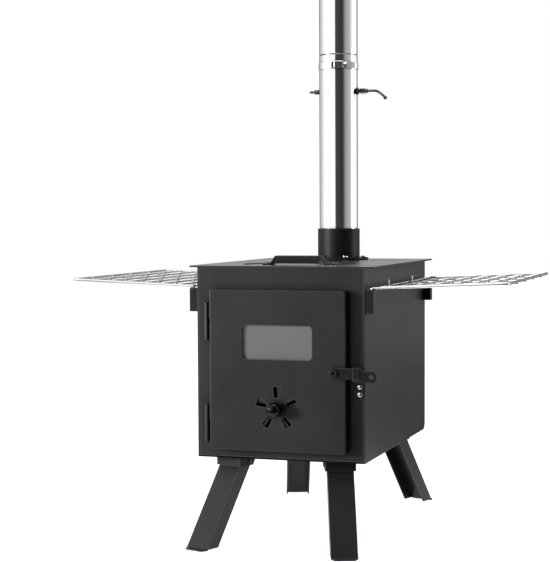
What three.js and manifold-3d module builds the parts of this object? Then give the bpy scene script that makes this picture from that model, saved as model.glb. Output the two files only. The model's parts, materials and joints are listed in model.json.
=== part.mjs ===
// A folding camp stove of black sheet steel with a stainless chimney, in millimetres.
// +Z is up, the door faces -Y, and the origin is on the ground under the middle of the firebox.
import * as THREE from "three";
import { mergeVertices } from "three/addons/utils/BufferGeometryUtils.js";
import Module from "manifold-3d";

const wasm = await Module();
wasm.setup();

// ---------------------------------------------------------------- driving dimensions

// Fits: pieces that only rest against each other are drawn this far apart.
const seatGap = 0.3;
const holeClearance = 0.3; // added to a shank's radius for the hole it passes

// Facets: how many sides round things get.
const pipeSides = 28;
const plateSides = 52;
const rodSides = 10;
const boltSides = 8;
const discSides = 30;

// Joining and cutting: no sizes of the stove, only how far solids reach into each other.
const weldBite = 0.5; // how far two solids run into each other before they are joined
const drillPast = 5; // how far a cutting tool stands out of the solid that it cuts

// Firebox
const bodyWidth = 244;
const bodyDepth = 366;
const bodyHeight = 270; // underside of the floor to the top of the cooking plate
const legHeight = 122; // ground to the underside of the floor
const sheet = 2;
const rearBendRadius = 11; // where the back sheet turns under to become the floor

// Cooking plate, its lid and the lid's handle
const plateThickness = 2.5;
const plateOverhang = 12;
const plateFrontLip = 1.5;
const plateCornerRadius = 3;
const lidRadius = 80;
const lidThickness = 2;
const lidFrontInset = 92; // firebox front to the lid's middle
const lidGap = 1;
const lidSunk = 1.5; // lid's top below the plate's top
const lidSeatWidth = 7;
const handleSpan = 68;
const handleWidth = 20;
const handleRise = 13.5; // lid's top to the handle's top
const handleStrap = 2;
const handleFootLength = 12;
const handleLegRun = 7; // how far each sloping leg reaches sideways
const handleSkirtClear = 2.2; // gap left under the folded front edge
const rivetRadius = 3.2;

// Flue collar and its six bolts
const pipeRadius = 30;
const pipeWall = 0.8;
const flueRearInset = 67.3; // firebox back to the chimney's middle
const collarClearance = 0.5;
const collarWall = 2.1;
const collarHeight = 47;
const flueHoleLip = 0.6; // how far the plate reaches in under the pipe's lower edge
const flangeWidth = 13.4; // collar's outside to the flange's rim
const flangeThickness = 2;
const gasketThickness = 1.5;
const boltOut = 7.4; // collar's outside to the middles of the bolts
const boltCount = 6;
const boltShankRadius = 2;
const boltHeadRadius = 4.2;
const boltHeadHeight = 3;
const nutHeight = 3;
const largeNutHalfFlats = 5; // nuts of the latch's bolt and the vent's spindle
const largeNutHeight = 4;

// Chimney sections, their joint and the spark arrestor
const sectionLength = 316;
const sectionOverlap = 30;
const sectionSeat = 0.3; // how much longer the drawn-in end is than the overlap
const sectionDraw = 1.4; // length of the taper above the drawn-in end
const spigotClearance = 0.3;
const damperBelowTop = 55;
const clampBandWidth = 10;
const clampBandThickness = 0.8;
const clampBelowTop = 16;
const clampFacing = -74; // degrees from +X to the worm screw
const clampHousingLength = 15;
const clampHousingDepth = 8;
const clampHousingHeight = 11;
const clampWormRadius = 2.9;
const clampWormPitch = 2.2;
const clampWormGroove = 0.7;
const clampScrewHalfFlats = 3.6;
const clampScrewHeadLength = 5;
const clampScrewSlot = 1.2;
const clampTailFrom = 23; // degrees from the worm screw to the start of the free end
const clampTailTo = 50;
const clampTailLift = 2.6; // how far the free end springs away
const arrestorLength = 208;
const arrestorHoleRadius = 3.65;
const arrestorHoleColumns = 12;
const arrestorHoleRows = 5;
const arrestorRowSpacing = 15;
const arrestorFirstRow = 27; // below the top
const arrestorCapRecess = 4;
const arrestorCapThickness = 1.2;
const arrestorRingBelowTop = 132;
const arrestorRingHeight = 20;
const arrestorRingThickness = 1.2;
const eyeletThickness = 2;
const eyeletRadius = 11;
const eyeletHoleRadius = 6.5;
const eyeletReach = 45; // chimney's middle to the eyelet's middle

// Damper
const damperClearance = 0.8;
const damperThickness = 1.2;
const damperRodRadius = 2;
const damperKnobRadius = 2.9;
const damperTilt = -23; // degrees the plate is turned from level at rest
const damperSpringTurns = 5;
const damperSpringWire = 0.6; // wire radius
const damperSpringRadius = 3.7;
const damperSpringPitch = 1.9;
const damperSleeveWall = 1.3;
const damperSleeveInset = 6; // disc's edge to the sleeve's end
const damperRodBehind = 16; // how far the rod stands out of the pipe on the left
const damperRodAhead = 28; // and on the right, up to the crank
const damperNutHalfFlats = 3.4;
const damperNutStart = 8.5; // pipe to the nut's far end
const damperNutLength = 6.5;
const damperWasherRadius = 5.6;
const damperWasherThickness = 2.6;
const damperWasherGap = 0.8; // pipe to washer
const damperStopRadius = 3.6;
const damperStopLength = 1.6;
const damperSpringPlay = 0.4; // between the spring and the pieces beside it

// Door
const doorSideMargin = 24; // body side to door side
const doorTopMargin = 32.5;
const doorBottomMargin = 14;
const doorDepth = 15.5;
const doorGap = 0.5; // between the door's folded edge and the firebox front
const doorCornerRadius = 4;
const doorEdgeRound = 1.6;
const doorwayInset = 12; // door's edge to the hole in the firebox front
const doorwayCorner = 8;
const windowWidth = 102;
const windowHeight = 47;
const windowCorner = 6;
const windowRise = 151; // door's lower edge to the window's middle
const glassThickness = 3;
const glassLap = 6;
const retainerLap = 10;
const retainerThickness = 1.5;

// Air vent in the door
const ventRise = 59.5; // door's lower edge to the vent's middle
const ventCount = 5;
const ventOuter = 30.6;
const ventInner = 15.5;
const ventOuterHalf = 10.5; // degrees
const ventInnerHalf = 13;
const discRadius = 37.5;
const discThickness = 1.5;
const discWindowOuter = 31.6;
const discWindowInner = 16;
const discWindowOuterHalf = 17.5;
const discWindowInnerHalf = 21;
const discRestTurn = 18; // degrees from fully open
const spindleRadius = 3;
const knobRadius = 11;
const knobNeckRadius = 6;
const knobNeckLength = 3;

// Hinges
const hingeSideInset = 7; // door's edge to the hinge axis
const hingeForward = 7; // firebox front to the hinge axis
const hingeBarrelRadius = 4;
const hingePinRadius = 2.5;
const hingeBodyHalf = 31.5;
const hingeDoorHalf = 21.3;
const hingeBelowTop = 39.5; // door's top to the upper hinge's joint line
const hingeAboveBottom = 40.6;
const hingeLeaf = 4;
const hingePinEngage = 15;

// Latch
const latchRise = 111.4; // door's lower edge to the pivot
const latchSideInset = 14.5;
const latchHeight = 16;
const latchThickness = 2.5;
const latchStandoff = 1.5;
const latchReach = 40.5; // pivot to the end of the bar
const latchTabLength = 19;
const latchTabDrop = 3.8;
const latchHoleRadius = 2.7;
const latchHoleInset = 7.5;
const latchTabCorner = 3;
const latchBoltRadius = 3;
const latchBoltHeadRadius = 5.6;
const latchBoltHeadHeight = 3;
const latchSpacerRadius = 5;
const latchNoseWidth = 10;
const latchNoseHeight = 17;
const keeperInset = 7; // body side to the keeper's middle
const keeperWidth = 10;
const keeperSheet = 2.2;
const keeperDrop = 26; // keeper's length below the ledge
const keeperBend = 1.5; // outside radius
const keeperShort = 1.2; // lever's front face to the end of the ledge
const keeperScrewPitch = 10.3;
const keeperScrewDrop = 10.5;
const screwHeadRadius = 3.4;
const screwHeadHeight = 1.8;
const screwShankRadius = 1.6;

// Side racks
const rackDepth = 184; // inner long wire to outer long wire
const rackEndInset = 7; // firebox end to the middle of the rack's end wire
const rackWallGap = 10;
const rackDrop = 29.5; // plate's top to the inner edge of the rack
const rackRise = 8; // how much higher the outer edge lies
const rackLongWires = 8;
const rackShortWires = 6;
const rackFrameWire = 2; // radius
const rackBarWire = 1.5; // radius
const rackElbow = 3; // run of the bend between hook and rack
const rackHookLength = 24;
const rackCornerBend = 7; // run of the bend at each outer corner
const bracketReach = 12;
const bracketWidth = 12;
const bracketHeight = 33;
const bracketSheet = 2;

// Legs
const legAzimuth = 20; // degrees the legs point sideways from straight ahead
const legLean = 34; // degrees from upright
const legSideInset = 47.2;
const legEndInset = 37.5;
const legPinDrop = 7.5;
const legWidth = 37;
const legFlange = 20;
const legWebOffset = 13; // pin to the outer face of the web
const legWebStart = 2;
const legEyeRadius = 7;
const legPinRadius = 2.5;
const footLength = 8;
const footWidth = 33;
const footCorner = 6;
const earGap = 1;
const earReach = 11.6;
const earHeight = 14;
const pinHeadRadius = 4.5;
const pinHeadHeight = 1.5;

// ---------------------------------------------------------------- places worked out from them

const bodyRight = bodyWidth / 2;
const bodyFront = -bodyDepth / 2;
const bodyBack = bodyDepth / 2;
const floorBottom = legHeight;
const plateTop = legHeight + bodyHeight;
const plateBottom = plateTop - plateThickness;
const lidY = bodyFront + lidFrontInset;
const lidTop = plateTop - lidSunk;
const lidBottom = lidTop - lidThickness;
const flueY = bodyBack - flueRearInset;
const flangeBottom = plateTop + gasketThickness;
const flangeTop = flangeBottom + flangeThickness;
const collarInner = pipeRadius + collarClearance;
const collarOuter = collarInner + collarWall;
const flangeRadius = collarOuter + flangeWidth;
const boltCircleRadius = collarOuter + boltOut;
const spigotRadius = pipeRadius - pipeWall - spigotClearance;
const damperZ = plateTop + sectionLength - damperBelowTop;
const rackLength = bodyDepth - 2 * rackEndInset; // between the middles of the end wires
const doorWidth = bodyWidth - 2 * doorSideMargin;
const doorLeft = -doorWidth / 2;
const doorBottom = floorBottom + doorBottomMargin;
const doorTop = plateTop - doorTopMargin;
const doorHeight = doorTop - doorBottom;
const doorBack = bodyFront - doorGap;
const doorFront = doorBack - doorDepth;
const doorInner = doorFront + sheet;
const hingeX = doorLeft - hingeSideInset;
const hingeY = bodyFront - hingeForward;
const latchX = doorWidth / 2 - latchSideInset;
const latchZ = doorBottom + latchRise;
const legPinZ = floorBottom - legPinDrop;

const toRadians = THREE.MathUtils.degToRad;

// ---------------------------------------------------------------- making and cutting solids

// A closed geometry as a solid whose faces point outwards.
function solid(geometry) {
  const bare = geometry.clone();
  bare.deleteAttribute("normal");
  bare.deleteAttribute("uv");
  const merged = mergeVertices(bare, 1e-4);
  const corners = new Uint32Array(merged.index.array);
  const made = (triVerts) =>
    new wasm.Manifold(
      new wasm.Mesh({ numProp: 3, vertProperties: merged.attributes.position.array, triVerts }),
    );
  const first = made(corners);
  if (first.volume() > 0) return first;
  return made(corners.reverse());
}

// A solid's own triangles as a geometry that a mesh can show.
function geometryOf(body) {
  const mesh = body.getMesh();
  const geometry = new THREE.BufferGeometry();
  geometry.setAttribute("position", new THREE.BufferAttribute(mesh.vertProperties, 3));
  geometry.setIndex(new THREE.BufferAttribute(mesh.triVerts, 1));
  geometry.computeVertexNormals();
  return geometry;
}

function joined(...bodies) {
  return bodies.reduce((whole, body) => whole.add(body));
}

function cutBy(body, tools) {
  return tools.reduce((rest, tool) => rest.subtract(tool), body);
}

// A block between two opposite corners.
function block(x0, x1, y0, y1, z0, z1) {
  const box = new THREE.BoxGeometry(x1 - x0, y1 - y0, z1 - z0);
  return solid(box.translate((x0 + x1) / 2, (y0 + y1) / 2, (z0 + z1) / 2));
}

// A round bar, or with endRadius a cone, between two points.
function bar(from, to, radius, sides = rodSides, endRadius = radius) {
  const start = new THREE.Vector3(...from);
  const run = new THREE.Vector3(...to).sub(start);
  const geometry = new THREE.CylinderGeometry(endRadius, radius, run.length(), sides);
  geometry.translate(0, run.length() / 2, 0);
  const turn = new THREE.Quaternion().setFromUnitVectors(
    new THREE.Vector3(0, 1, 0),
    run.clone().normalize(),
  );
  return solid(geometry.applyQuaternion(turn).translate(...from));
}

// A closed profile of [radius, height] points spun about the Z axis.
function spun(profile, sides = pipeSides) {
  const points = profile.map(([radius, height]) => new THREE.Vector2(radius, height));
  const onAxis = profile[0][0] === 0 && profile.at(-1)[0] === 0;
  if (!onAxis) points.push(points[0].clone());
  return solid(new THREE.LatheGeometry(points, sides).rotateX(Math.PI / 2));
}

// A flat shape drawn in X and Y, from z0 upwards.
function flatPlate(shape, z0, thickness, curveSegments = 12) {
  const geometry = new THREE.ExtrudeGeometry(shape, {
    depth: thickness,
    bevelEnabled: false,
    curveSegments,
  });
  return solid(geometry.translate(0, 0, z0));
}

// A flat shape drawn in X and Z, from y0 towards the back.
function uprightPlate(shape, y0, thickness, curveSegments = 12) {
  const geometry = new THREE.ExtrudeGeometry(shape, {
    depth: thickness,
    bevelEnabled: false,
    curveSegments,
  });
  geometry.rotateX(Math.PI / 2);
  return solid(geometry.translate(0, y0 + thickness, 0));
}

// A flat shape drawn in Y and Z, from x0 towards +X.
function sidePlate(shape, x0, thickness, curveSegments = 12) {
  const geometry = new THREE.ExtrudeGeometry(shape, {
    depth: thickness,
    bevelEnabled: false,
    curveSegments,
  });
  const turn = new THREE.Matrix4().makeBasis(
    new THREE.Vector3(0, 1, 0),
    new THREE.Vector3(0, 0, 1),
    new THREE.Vector3(1, 0, 0),
  );
  return solid(geometry.applyMatrix4(turn).translate(x0, 0, 0));
}

// A rectangle with round corners about a middle point.
function roundedRectangle(x, y, width, height, radius, Kind = THREE.Shape) {
  const [left, right] = [x - width / 2, x + width / 2];
  const [low, high] = [y - height / 2, y + height / 2];
  const outline = new Kind();
  outline.moveTo(left + radius, low);
  outline.lineTo(right - radius, low);
  outline.absarc(right - radius, low + radius, radius, -Math.PI / 2, 0);
  outline.lineTo(right, high - radius);
  outline.absarc(right - radius, high - radius, radius, 0, Math.PI / 2);
  outline.lineTo(left + radius, high);
  outline.absarc(left + radius, high - radius, radius, Math.PI / 2, Math.PI);
  outline.lineTo(left, low + radius);
  outline.absarc(left + radius, low + radius, radius, Math.PI, Math.PI * 1.5);
  outline.closePath();
  return outline;
}

// A round outline with this many sides.
function circle(x, y, radius, sides, Kind = THREE.Path) {
  const points = Array.from({ length: sides }, (_, k) => {
    const angle = (2 * Math.PI * k) / sides;
    return new THREE.Vector2(x + radius * Math.cos(angle), y + radius * Math.sin(angle));
  });
  return new Kind(points);
}

// A hexagon with its flats this far from the middle.
function hexagon(x, y, halfFlats) {
  return circle(x, y, halfFlats / Math.cos(Math.PI / 6), 6, THREE.Shape);
}

// A round tube or wire along a curve, with flat ends.
function wireAlong(curve, radius, steps, sides = 8) {
  const section = circle(0, 0, radius, sides, THREE.Shape);
  return solid(
    new THREE.ExtrudeGeometry(section, { steps, extrudePath: curve, bevelEnabled: false }),
  );
}

// ---------------------------------------------------------------- finishes

const blackSteel = { color: 0x2b2a2d, roughness: 0.55, metalness: 0.4 };
const blackCasting = { color: 0x242326, roughness: 0.5, metalness: 0.4 };
const blackBall = { color: 0x151416, roughness: 0.2, metalness: 0.0 };
const stainless = { color: 0xc9c8c6, roughness: 0.12, metalness: 1.0 };
const brightWire = { color: 0xd4d4d4, roughness: 0.2, metalness: 1.0 };
const zincSteel = { color: 0xb8b8b6, roughness: 0.3, metalness: 1.0 };
const smokedGlass = { color: 0x6c6c6e, roughness: 0.1, metalness: 0.0 };
const graphite = { color: 0x1d1d1e, roughness: 0.8, metalness: 0.1 };

// Puts a solid into the stove as a named piece with a finish of its own.
function addPiece(parent, name, body, finish) {
  const mesh = new THREE.Mesh(geometryOf(body), new THREE.MeshStandardMaterial(finish));
  mesh.name = name;
  parent.add(mesh);
  return mesh;
}

const stove = new THREE.Group();

// ---------------------------------------------------------------- firebox

// Side wall: its outline rounds off where the back sheet turns under.
function sideWall(x0) {
  const outline = new THREE.Shape();
  outline.moveTo(bodyFront, floorBottom);
  outline.lineTo(bodyBack - rearBendRadius, floorBottom);
  outline.absarc(
    bodyBack - rearBendRadius,
    floorBottom + rearBendRadius,
    rearBendRadius,
    -Math.PI / 2,
    0,
  );
  outline.lineTo(bodyBack, plateBottom);
  outline.lineTo(bodyFront, plateBottom);
  outline.closePath();
  return sidePlate(outline, x0, sheet, 6);
}

// Back and floor: one sheet bent between the two side walls.
function backAndFloor() {
  const inner = rearBendRadius - sheet;
  const bendY = bodyBack - rearBendRadius;
  const bendZ = floorBottom + rearBendRadius;
  const outline = new THREE.Shape();
  outline.moveTo(bodyFront, floorBottom);
  outline.lineTo(bendY, floorBottom);
  outline.absarc(bendY, bendZ, rearBendRadius, -Math.PI / 2, 0);
  outline.lineTo(bodyBack, plateBottom);
  outline.lineTo(bodyBack - sheet, plateBottom);
  outline.lineTo(bodyBack - sheet, bendZ);
  outline.absarc(bendY, bendZ, inner, 0, -Math.PI / 2, true);
  outline.lineTo(bodyFront, floorBottom + sheet);
  outline.closePath();
  const halfWidth = bodyRight - sheet - seatGap;
  return sidePlate(outline, -halfWidth, 2 * halfWidth, 6);
}

// Front: a sheet with the doorway cut in it.
function frontSheet() {
  const low = floorBottom + sheet + seatGap;
  const height = plateBottom - low;
  const width = 2 * (bodyRight - sheet - seatGap);
  const outline = roundedRectangle(0, low + height / 2, width, height, 1);
  const doorwayWidth = doorWidth - 2 * doorwayInset;
  const doorwayHeight = doorHeight - 2 * doorwayInset;
  const doorwayZ = (doorBottom + doorTop) / 2;
  const doorway = roundedRectangle(0, doorwayZ, doorwayWidth, doorwayHeight, doorwayCorner, THREE.Path);
  outline.holes.push(doorway);
  for (const z of keeperScrewHeights()) {
    outline.holes.push(circle(keeperX(), z, screwShankRadius + holeClearance, boltSides));
  }
  return uprightPlate(outline, bodyFront, sheet, 3);
}

addPiece(stove, "side_panel_left", sideWall(-bodyRight), blackSteel);
addPiece(stove, "side_panel_right", sideWall(bodyRight - sheet), blackSteel);
addPiece(stove, "back_and_floor_panel", backAndFloor(), blackSteel);
addPiece(stove, "front_panel", frontSheet(), blackSteel);

// ---------------------------------------------------------------- cooking plate and lid

// Where the flue bolts stand, as [x, y] pairs.
function boltPlaces() {
  return Array.from({ length: boltCount }, (_, k) => {
    const angle = (2 * Math.PI * k) / boltCount;
    return [boltCircleRadius * Math.cos(angle), flueY + boltCircleRadius * Math.sin(angle)];
  });
}

// Cooking plate: its big hole has a pressed ledge below, which carries the lid.
function cookingPlate() {
  const front = bodyFront - plateFrontLip;
  const width = bodyWidth + 2 * plateOverhang;
  const depth = bodyBack - front;
  const middle = (front + bodyBack) / 2;
  const outline = roundedRectangle(0, middle, width, depth, plateCornerRadius);
  const hole = lidRadius + lidGap;
  const flueHole = spigotRadius - pipeWall - flueHoleLip;
  outline.holes.push(circle(0, lidY, hole, plateSides));
  outline.holes.push(circle(0, flueY, flueHole, pipeSides));
  for (const [x, y] of boltPlaces()) {
    outline.holes.push(circle(x, y, boltShankRadius + holeClearance, boltSides));
  }
  const ledge = spun([
    [lidRadius - lidSeatWidth, lidBottom - seatGap - sheet],
    [hole + sheet, lidBottom - seatGap - sheet],
    [hole + sheet, plateBottom + weldBite],
    [hole, plateBottom + weldBite],
    [hole, lidBottom - seatGap],
    [lidRadius - lidSeatWidth, lidBottom - seatGap],
  ], plateSides);
  return joined(flatPlate(outline, plateBottom, plateThickness, 3), ledge.translate([0, lidY, 0]));
}

function cookingLid() {
  const softEdge = 0.4;
  const disc = spun([
    [0, lidBottom],
    [lidRadius, lidBottom],
    [lidRadius, lidTop - softEdge],
    [lidRadius - softEdge, lidTop],
    [0, lidTop],
  ], plateSides);
  return disc.translate([0, lidY, 0]);
}

// Lid handle: a strap bent to a low bridge, its front edge folded down between the sloping legs.
function lidHandle() {
  const foot = handleSpan / 2 + handleLegRun + handleFootLength;
  const high = lidTop + handleRise;
  const low = lidTop;
  const side = new THREE.Shape();
  side.moveTo(-foot, low);
  side.lineTo(-foot + handleFootLength, low);
  side.lineTo(-handleSpan / 2 + 0.8, high - handleStrap);
  side.lineTo(handleSpan / 2 - 0.8, high - handleStrap);
  side.lineTo(foot - handleFootLength, low);
  side.lineTo(foot, low);
  side.lineTo(foot, low + handleStrap);
  side.lineTo(foot - handleFootLength + 0.8, low + handleStrap);
  side.lineTo(handleSpan / 2, high);
  side.lineTo(-handleSpan / 2, high);
  side.lineTo(-foot + handleFootLength - 0.8, low + handleStrap);
  side.lineTo(-foot, low + handleStrap);
  side.closePath();
  const front = lidY - handleWidth / 2;
  const strap = uprightPlate(side, front, handleWidth);
  const skirtHalf = handleSpan / 2 - 1.5;
  const skirt = block(-skirtHalf, skirtHalf, front, front + handleStrap, low + handleSkirtClear, high);
  const rivets = [-1, 1].map((way) => {
    const head = spun([
      [0, low + handleStrap - 0.4],
      [rivetRadius, low + handleStrap - 0.4],
      [rivetRadius, low + handleStrap + 0.8],
      [rivetRadius * 0.6, low + handleStrap + 1.8],
      [0, low + handleStrap + 2.1],
    ], boltSides);
    return head.translate([way * (foot - handleFootLength / 2), lidY, 0]);
  });
  return joined(strap, skirt, ...rivets);
}

addPiece(stove, "cooking_plate", cookingPlate(), blackSteel);
addPiece(stove, "cooking_lid", cookingLid(), blackSteel);
addPiece(stove, "lid_handle", lidHandle(), blackCasting);

// ---------------------------------------------------------------- flue collar

function flueGasket() {
  const ring = circle(0, flueY, flangeRadius, pipeSides, THREE.Shape);
  ring.holes.push(circle(0, flueY, collarInner, pipeSides));
  for (const [x, y] of boltPlaces()) {
    ring.holes.push(circle(x, y, boltShankRadius + holeClearance, boltSides));
  }
  return flatPlate(ring, plateTop, gasketThickness);
}

function flueCollar() {
  const fillet = 1.2;
  const tube = spun([
    [collarInner, flangeBottom],
    [flangeRadius, flangeBottom],
    [flangeRadius, flangeTop],
    [collarOuter + fillet, flangeTop],
    [collarOuter, flangeTop + fillet],
    [collarOuter, flangeBottom + collarHeight],
    [collarInner, flangeBottom + collarHeight],
  ]);
  const holes = boltPlaces().map(([x, y]) =>
    bar([x, y, flangeBottom - 1], [x, y, flangeTop + 1], boltShankRadius + holeClearance, boltSides),
  );
  return cutBy(tube.translate([0, flueY, 0]), holes);
}

// Flue bolt with its nut run up under the cooking plate; its own origin is at the flange's top.
function flueBolt() {
  const nutTop = plateBottom - flangeTop - seatGap;
  const turned = spun([
    [0, nutTop - nutHeight - 2],
    [boltShankRadius, nutTop - nutHeight - 2],
    [boltShankRadius, seatGap],
    [boltHeadRadius, seatGap],
    [boltHeadRadius, boltHeadHeight * 0.6],
    [boltHeadRadius * 0.7, boltHeadHeight],
    [0, boltHeadHeight],
  ], boltSides);
  const nut = flatPlate(hexagon(0, 0, boltHeadRadius - 0.6), nutTop - nutHeight, nutHeight);
  return joined(turned, nut);
}

addPiece(stove, "flue_gasket", flueGasket(), graphite);
addPiece(stove, "flue_collar", flueCollar(), blackSteel);
boltPlaces().forEach(([x, y], k) => {
  const bolt = addPiece(stove, `flue_bolt_${k + 1}`, flueBolt(), blackCasting);
  bolt.position.set(x, y, flangeTop);
});

// ---------------------------------------------------------------- chimney

// One chimney section: a rolled tube whose lower end is drawn in to plug into the piece below.
function sectionProfile(length) {
  const shoulder = sectionOverlap + sectionSeat;
  const inner = pipeRadius - pipeWall;
  const spigotInner = spigotRadius - pipeWall;
  return [
    [spigotInner, 0],
    [spigotRadius, 0],
    [spigotRadius, shoulder],
    [pipeRadius, shoulder + sectionDraw],
    [pipeRadius, length],
    [inner, length],
    [inner, shoulder + sectionDraw],
    [spigotInner, shoulder],
  ];
}

function chimneySection() {
  return spun(sectionProfile(sectionLength));
}

// The lower section is cross drilled for the damper's rod.
function damperSection() {
  const z = sectionLength - damperBelowTop;
  const drill = bar(
    [-pipeRadius - drillPast, 0, z],
    [pipeRadius + drillPast, 0, z],
    damperRodRadius + holeClearance,
  );
  return chimneySection().subtract(drill);
}

const chimney = new THREE.Group();
chimney.position.set(0, flueY, plateTop + seatGap);
stove.add(chimney);
addPiece(chimney, "pipe_lower", damperSection(), stainless);

const upperSection = new THREE.Group();
upperSection.position.z = sectionLength - sectionOverlap;
chimney.add(upperSection);
addPiece(upperSection, "pipe_upper", chimneySection(), stainless);

// ---------------------------------------------------------------- hose clamp at the joint

const clampInner = pipeRadius + seatGap;
const clampOuter = clampInner + clampBandThickness;
const wormOut = clampOuter + clampHousingDepth / 2;

// Clamp band with its worm housing and the free end that runs on past it; +X faces the screw.
function clampBand() {
  const half = clampBandWidth / 2;
  const ring = spun([
    [clampInner, -half],
    [clampOuter, -half],
    [clampOuter, half],
    [clampInner, half],
  ]);
  const housing = block(
    clampOuter - weldBite,
    clampOuter + clampHousingDepth,
    -clampHousingLength / 2,
    clampHousingLength / 2,
    -clampHousingHeight / 2,
    clampHousingHeight / 2,
  );
  const bore = bar(
    [wormOut, -clampHousingLength, 0],
    [wormOut, clampHousingLength, 0],
    clampWormRadius + 2 * holeClearance,
  );
  // The free end leaves the ring past the screw's head and springs a few millimetres away.
  const at = (lift, degrees) => {
    const angle = toRadians(degrees);
    return [(clampOuter + lift) * Math.cos(angle), (clampOuter + lift) * Math.sin(angle)];
  };
  const halfWay = (clampTailFrom + clampTailTo) / 2;
  const bow = clampTailLift * 0.3;
  const tail = new THREE.Shape();
  tail.moveTo(...at(-clampBandThickness / 2, clampTailFrom));
  tail.quadraticCurveTo(...at(bow, halfWay), ...at(clampTailLift, clampTailTo));
  tail.lineTo(...at(clampTailLift + clampBandThickness, clampTailTo));
  tail.quadraticCurveTo(
    ...at(bow + clampBandThickness, halfWay),
    ...at(clampBandThickness / 2, clampTailFrom),
  );
  tail.closePath();
  const tailBand = flatPlate(tail, -half, clampBandWidth, 5);
  return joined(ring, housing.subtract(bore), tailBand);
}

// Worm screw: a grooved shank in the housing and a slotted hexagon head.
function clampScrew() {
  const shankEnd = clampHousingLength / 2 - 1;
  const grooves = [];
  for (let y = -shankEnd; y < shankEnd - clampWormPitch; y += clampWormPitch) {
    grooves.push(
      [clampWormRadius, y],
      [clampWormRadius - clampWormGroove, y + clampWormPitch / 2],
    );
  }
  const headStart = clampHousingLength / 2 + seatGap;
  const headEnd = headStart + clampScrewHeadLength;
  const shank = spun([
    [0, -shankEnd - seatGap],
    ...grooves,
    [clampWormRadius, shankEnd],
    [clampWormRadius - clampWormGroove, headStart + weldBite],
    [0, headStart + weldBite],
  ], boltSides);
  const head = flatPlate(hexagon(0, 0, clampScrewHalfFlats), headStart, clampScrewHeadLength);
  const slot = block(
    -drillPast,
    drillPast,
    -clampScrewSlot / 2,
    clampScrewSlot / 2,
    headEnd - clampScrewSlot,
    headEnd + drillPast,
  );
  // Drawn upright and then laid along the tangent, with the head on the side of the free end.
  return joined(shank, head).subtract(slot).rotate([90, 0, 0]).rotate([0, 0, 180])
    .translate([wormOut, 0, 0]);
}

const clamp = new THREE.Group();
clamp.position.z = sectionLength - clampBelowTop;
clamp.rotation.z = toRadians(clampFacing);
chimney.add(clamp);
addPiece(clamp, "clamp_band", clampBand(), zincSteel);
addPiece(clamp, "clamp_screw", clampScrew(), zincSteel);

// ---------------------------------------------------------------- damper

const damperWasherStart = pipeRadius + damperWasherGap;
const damperWasherEnd = damperWasherStart + damperWasherThickness;
const damperSpringStart = damperWasherEnd + damperSpringWire + damperSpringPlay;
const damperSpringRun = damperSpringTurns * damperSpringPitch;
const damperSpringEnd = damperSpringStart + damperSpringRun;
const damperStopStart = damperSpringEnd + damperSpringWire + damperSpringPlay;

// Damper plate: a disc with a welded sleeve that the rod passes through.
function damperPlate() {
  const radius = pipeRadius - pipeWall - damperClearance;
  const disc = spun([
    [0, -damperThickness / 2],
    [radius, -damperThickness / 2],
    [radius, damperThickness / 2],
    [0, damperThickness / 2],
  ]);
  const sleeveRadius = damperRodRadius + damperSleeveWall;
  const sleeveEnd = radius - damperSleeveInset;
  const sleeve = bar([-sleeveEnd, 0, 0], [sleeveEnd, 0, 0], sleeveRadius);
  const boreRadius = damperRodRadius + holeClearance;
  const bore = bar([-radius - drillPast, 0, 0], [radius + drillPast, 0, 0], boreRadius);
  return joined(disc, sleeve).subtract(bore);
}

// Damper rod: nut on the far end, stop collar for the spring, and a cranked handle.
function damperRod() {
  const crank = pipeRadius + damperRodAhead;
  const shaft = bar([-pipeRadius - damperRodBehind, 0, 0], [crank, 0, 0], damperRodRadius);
  const nutStart = -pipeRadius - damperNutStart;
  const nut = sidePlate(hexagon(0, 0, damperNutHalfFlats), nutStart, damperNutLength);
  const stopEnd = damperStopStart + damperStopLength;
  const stop = bar([damperStopStart, 0, 0], [stopEnd, 0, 0], damperStopRadius);
  const sweep = new THREE.CatmullRomCurve3([
    new THREE.Vector3(crank - 1, 0, 0),
    new THREE.Vector3(crank + 3, 0.6, 0),
    new THREE.Vector3(crank + 6.5, 4, 0),
    new THREE.Vector3(crank + 9, 13, 0),
    new THREE.Vector3(crank + 11, 23, 0),
  ]);
  const arm = wireAlong(sweep, damperRodRadius, 10, 10);
  const tip = new THREE.SphereGeometry(damperKnobRadius, 12, 8).translate(crank + 11.2, 24.4, 0);
  return joined(shaft, nut, stop, arm, solid(tip));
}

function damperWasher() {
  const bore = damperRodRadius + holeClearance;
  const ring = spun([
    [bore, 0],
    [damperWasherRadius, 0],
    [damperWasherRadius, damperWasherThickness / 3],
    [bore + 1, damperWasherThickness],
    [bore, damperWasherThickness],
  ], 16);
  return ring.rotate([0, 90, 0]).translate([damperWasherStart, 0, 0]);
}

// Damper spring: one open coil round the rod.
class Coil extends THREE.Curve {
  getPoint(t) {
    const angle = 2 * Math.PI * damperSpringTurns * t;
    return new THREE.Vector3(
      damperSpringStart + damperSpringRun * t,
      damperSpringRadius * Math.cos(angle),
      damperSpringRadius * Math.sin(angle),
    );
  }
}

function damperSpring() {
  return wireAlong(new Coil(), damperSpringWire, 8 * damperSpringTurns, 5);
}

// The least distance between the surfaces of neighbouring turns, measured on points of the coil.
function coilSelfGap() {
  const samples = 60 * damperSpringTurns;
  const coil = new Coil();
  const points = Array.from({ length: samples + 1 }, (_, k) => coil.getPoint(k / samples));
  let least = Infinity;
  points.forEach((a, i) => {
    points.slice(i + 30).forEach((b) => {
      least = Math.min(least, a.distanceTo(b) - 2 * damperSpringWire);
    });
  });
  return least;
}
console.log(`damper spring: least gap between turns ${coilSelfGap().toFixed(2)} mm`);

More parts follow.
